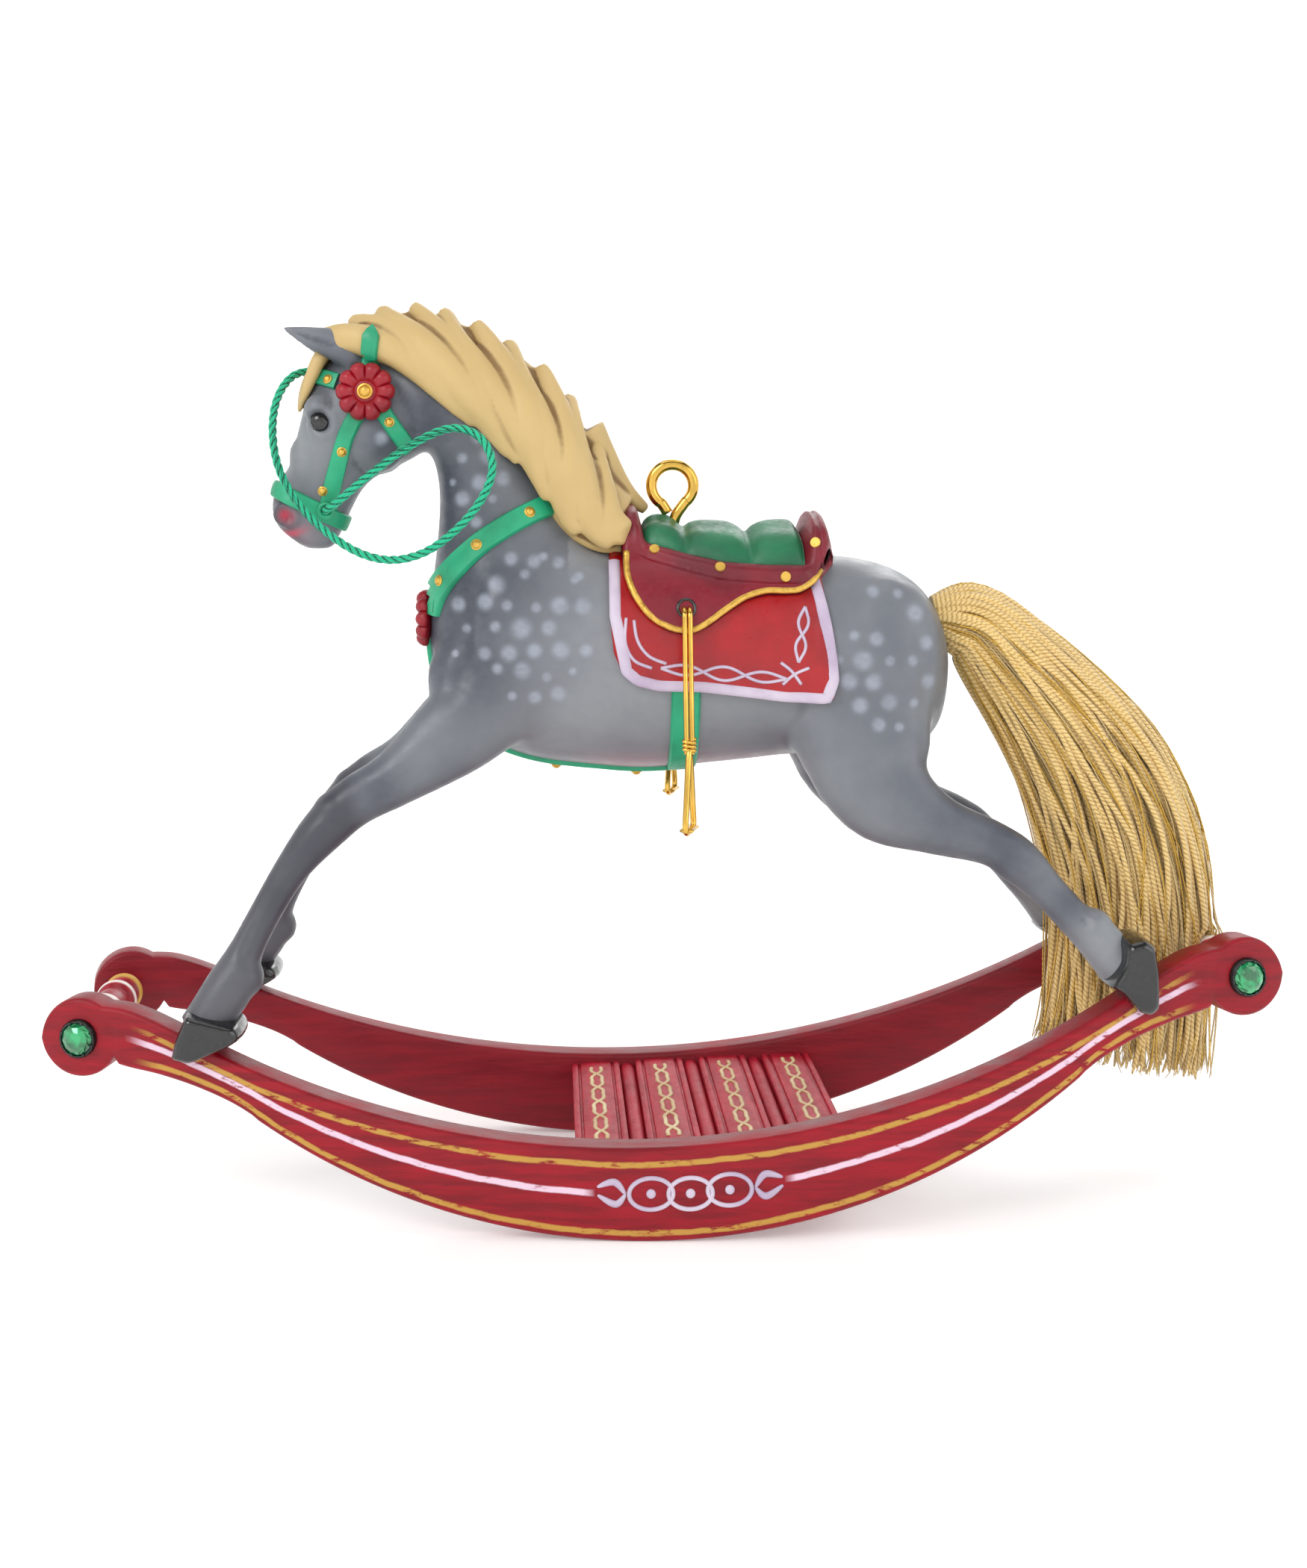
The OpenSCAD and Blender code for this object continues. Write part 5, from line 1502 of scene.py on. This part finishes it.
# ---- spindles, gems ----
spindle_profile = [
    [0.3, -6.4], [1.5, -6.35], [1.75, -6.1], [1.85, -5.7], [1.75, -5.3], [1.25, -4.9], [1.2, -4.5],
    [1.5, -3.5], [1.75, -3.2], [1.95, -2.7], [1.9, -2.3], [1.55, -1.9], [1.45, -1.6], [1.6, -0.8],
    [1.68, 0],
]
spindle_profile = spindle_profile + [[r, -y] for r, y in spindle_profile[-2::-1]]


def spindle(end):
    """The turned rod between the rockers' ends, with the distance from its middle."""
    rings = []
    t = turns(36)
    profile = smooth(spindle_profile, 4)
    for r, y in profile:
        rings.append(np.stack([end * DISC_X + r * np.cos(t), np.full(36, y), DISC_Z + r * np.sin(t)], 1))
    along = np.repeat(profile[:, 1], 36)
    return loft(leaning(rings)), {"across": np.abs(np.r_[along, along[0], along[-1]])}


def spindle_finish():
    """Red paint with a white ring and a gold ring on either side."""
    f = Finish("spindle_paint", 0.38)
    grain = f.noise(0.8, 4, (1, 2.5, 1))
    tone = f.blend((130, 4, 26), (168, 12, 38), grain, 0.3, 0.7)
    across = f.value("across")
    tone = f.mix(f.band(across, 2.65, 0.42, 0.08), tone, colour(236, 226, 220))
    tone = f.mix(f.band(across, 5.7, 0.5, 0.08), tone, colour(206, 160, 70))
    f.paint(tone).gloss(grain, 0.28, 0.45)
    return f.bump((grain, 0.03))


turned_paint = spindle_finish()
for end, name in ((-1, "front"), (1, "rear")):
    shape, values = spindle(end)
    piece("spindle_turned_" + name, shape, turned_paint, replaces=["spindle_" + name],
          edge=60,
          values=values)


def gem_finish():
    """Green cut glass over foil."""
    f = Finish("emerald_glass", 0.04, metallic=0.35, coat=1.0, coat_roughness=0.03, specular=0.9)
    tint = f.noise(0.9, 2)
    f.paint(f.blend((0, 96, 52), (10, 168, 98), tint, 0.35, 0.65))
    return f.bump((f.noise(0.5, 1), 0.002))


def at_disc(part, side, end):
    """A part that faces +Z, set on a rocker's outer face at its end disc."""
    turn = math.asin(DISC_X / 250)
    outward = np.array([end * math.sin(turn), side * math.cos(turn), 0])
    along = np.array([math.cos(turn), -side * end * math.sin(turn), 0])
    place = [end * DISC_X + 1.5 * outward[0], side * float(bow(DISC_X)) + 1.5 * outward[1], DISC_Z]
    return moved(facing(part, place, along, np.cross(outward, along)), leaning)


def gem(radius=1.42, facets=12):
    """A brilliant cut: table, crown facets in two rows and a girdle."""
    rings = []
    for share, high, turn in ((1, 0.05, 0), (1.0, 0.45, 0), (0.8, 0.78, 0.5), (0.52, 1.0, 0),
                              (0.02, 1.0, 0)):
        t = TURN * (np.arange(facets) + turn) / facets
        rings.append(np.stack([share * radius * np.cos(t), share * radius * np.sin(t),
                               np.full(facets, high)], 1))
    points, quads, tris = loft(rings)
    cut = np.vstack([quads[:, [0, 1, 2]], quads[:, [0, 2, 3]], tris])
    return points, np.zeros((0, 4), int), cut


def cup(radius=1.72):
    """A dark rim with small claws."""
    profile = [[0.1, -0.02], [radius, -0.02], [radius, 0.34], [radius - 0.1, 0.5], [radius - 0.24, 0.5],
               [radius - 0.3, 0.3], [0.1, 0.1]]
    pile = Pile().add(turned(profile, 48))
    for k in range(8):
        a = TURN * (k + 0.5) / 8
        pile.add(ball(((radius - 0.22) * math.cos(a), (radius - 0.22) * math.sin(a), 0.52),
                      (0.17, 0.17, 0.12), rows=6, cols=8))
    return pile.joined()[0]


emerald = gem_finish()
cups = Pile()
for side, side_name in SIDES:
    for end, end_name in ((-1, "front"), (1, "rear")):
        stone = Pile()
        stone.add(at_disc(gem(), side, end))
        piece("gem_%s_%s" % (side_name, end_name), stone, emerald,
              replaces=["stone_%s_%s" % (side_name, end_name)], edge=8)
        cups.add(at_disc(cup(), side, end))
piece("gem_cups", cups, polished("dark_foil", (70, 74, 72), 0.3), replaces=["stone_cups"],
      edge=50)


# ---- deck ----
SLAT, PITCH, DECK_X, DECK_TOP = 4.8, 6.4, 3.6, 7.5


def bar(outline):
    """A closed outline in the side view, run across between the rockers' inner faces."""
    outline = np.asarray(outline, float)
    rings = []
    for share in np.r_[-1, np.linspace(-0.96, 0.96, 13), 1]:
        y = share * (bow(outline[:, 0], 13.0) + 0.05)
        rings.append(np.stack([outline[:, 0], y, outline[:, 1]], 1))
    return loft(leaning(rings))


deck_paint = deck_finish()
for i in range(4):
    c = DECK_X + (i - 1.5) * PITCH
    h = SLAT / 2
    half_outline = [[0, 0], [h - 1.0, 0], [h - 0.9, -0.05], [h - 0.82, -0.26], [h - 0.66, -0.26],
                    [h - 0.58, -0.05], [h - 0.48, 0], [h - 0.2, -0.02], [h - 0.05, -0.12], [h, -0.35],
                    [h, -2.05], [h - 0.12, -2.2], [0, -2.2]]
    outline = half_outline + [[-x, z] for x, z in half_outline[-2:0:-1]]
    outline = [[c + x, DECK_TOP + z] for x, z in outline]
    piece("deck_board_%d" % (i + 1), Pile().add(bar(outline)), deck_paint,
          replaces=["deck_slat_%d" % (i + 1)], edge=38)

beads = Pile()
for i in range(3):
    t = turns(20)
    c = DECK_X + (i - 1) * PITCH
    beads.add(bar(np.stack([c + 0.8 * np.cos(t), DECK_TOP - 1.05 + 0.8 * np.sin(t)], 1)))
piece("deck_bead_rods", beads, deck_paint, replaces=["deck_beads"], edge=60)

chains = Pile()
for i in range(4):
    c = DECK_X + (i - 1.5) * PITCH
    t = np.linspace(-1, 1, 140)
    for phase in (0, math.pi):
        swing = 0.95 * np.sin(t * 2.5 * math.pi + phase) * (0.75 + 0.25 * np.cos(t * 5 * math.pi))
        route = np.stack([c + swing, t * 10.9, np.full(140, DECK_TOP + 0.02)], 1)
        chains.add(tube(leaning(route), 0.2, 6, flat=0.5, up=(0, 0, 1)))
cream_paint = painted("cream_line_paint", (226, 206, 160), (196, 160, 112), 0.5, 0.03)
piece("deck_chains", chains, cream_paint, edge=180)


# ---- floor and lights ----
def studio():
    """A pale floor that curves up on all sides, with soft lights."""
    profile = [[0.001, 0], [200, 0], [420, 0]]
    profile += [[420 + 380 * math.sin(a), 380 - 380 * math.cos(a)] for a in np.linspace(0.1, 1.5, 14)]
    profile += [[800, 900]]
    profile = np.array(profile)
    t = turns(96)
    rings = np.stack([profile[:, 0:1] * np.cos(t), profile[:, 0:1] * np.sin(t),
                      np.broadcast_to(profile[:, 1:2], (len(profile), 96))], -1)
    quads = grid_quads(len(profile), 96, False, True)
    f = Finish("paper_floor", 0.9, specular=0.2)
    f.surface.inputs["Emission Color"].default_value = (1, 1, 1, 1)
    f.surface.inputs["Emission Strength"].default_value = 0.24
    f.paint(f.mix(f.noise(0.004, 2), colour(243, 243, 243), colour(246, 246, 245)))
    mesh = blender_mesh("floor", (rings.reshape(-1, 3), quads, np.zeros((0, 3), int)))
    mesh.shade_smooth()
    mesh.materials.append(f.bump((f.noise(0.5, 2), 0.004)))
    floor = bpy.data.objects.new("floor", mesh)
    bpy.context.scene.collection.objects.link(floor)
    lamps = [("key", (-0.34, -0.42, 0.46), 0.34, 1.5), ("fill", (0.5, -0.36, 0.3), 0.4, 0.5),
             ("top", (0, 0.05, 0.66), 0.6, 1.1), ("back", (0.15, 0.52, 0.42), 0.4, 0.85)]
    for name, place, size, watts in lamps:
        lamp = bpy.data.lights.new(name, "AREA")
        lamp.shape = "DISK"
        lamp.size = size
        lamp.energy = watts
        made = bpy.data.objects.new(name, lamp)
        made.location = place
        made.rotation_euler = (Vector((0, 0, 0.04)) - Vector(place)).to_track_quat("-Z", "Y").to_euler()
        made.visible_camera = False
        bpy.context.scene.collection.objects.link(made)
    world = bpy.data.worlds.new("studio")
    world.use_nodes = True
    world.node_tree.nodes["Background"].inputs["Color"].default_value = (1, 1, 1, 1)
    world.node_tree.nodes["Background"].inputs["Strength"].default_value = 0.2
    bpy.context.scene.world = world


studio()
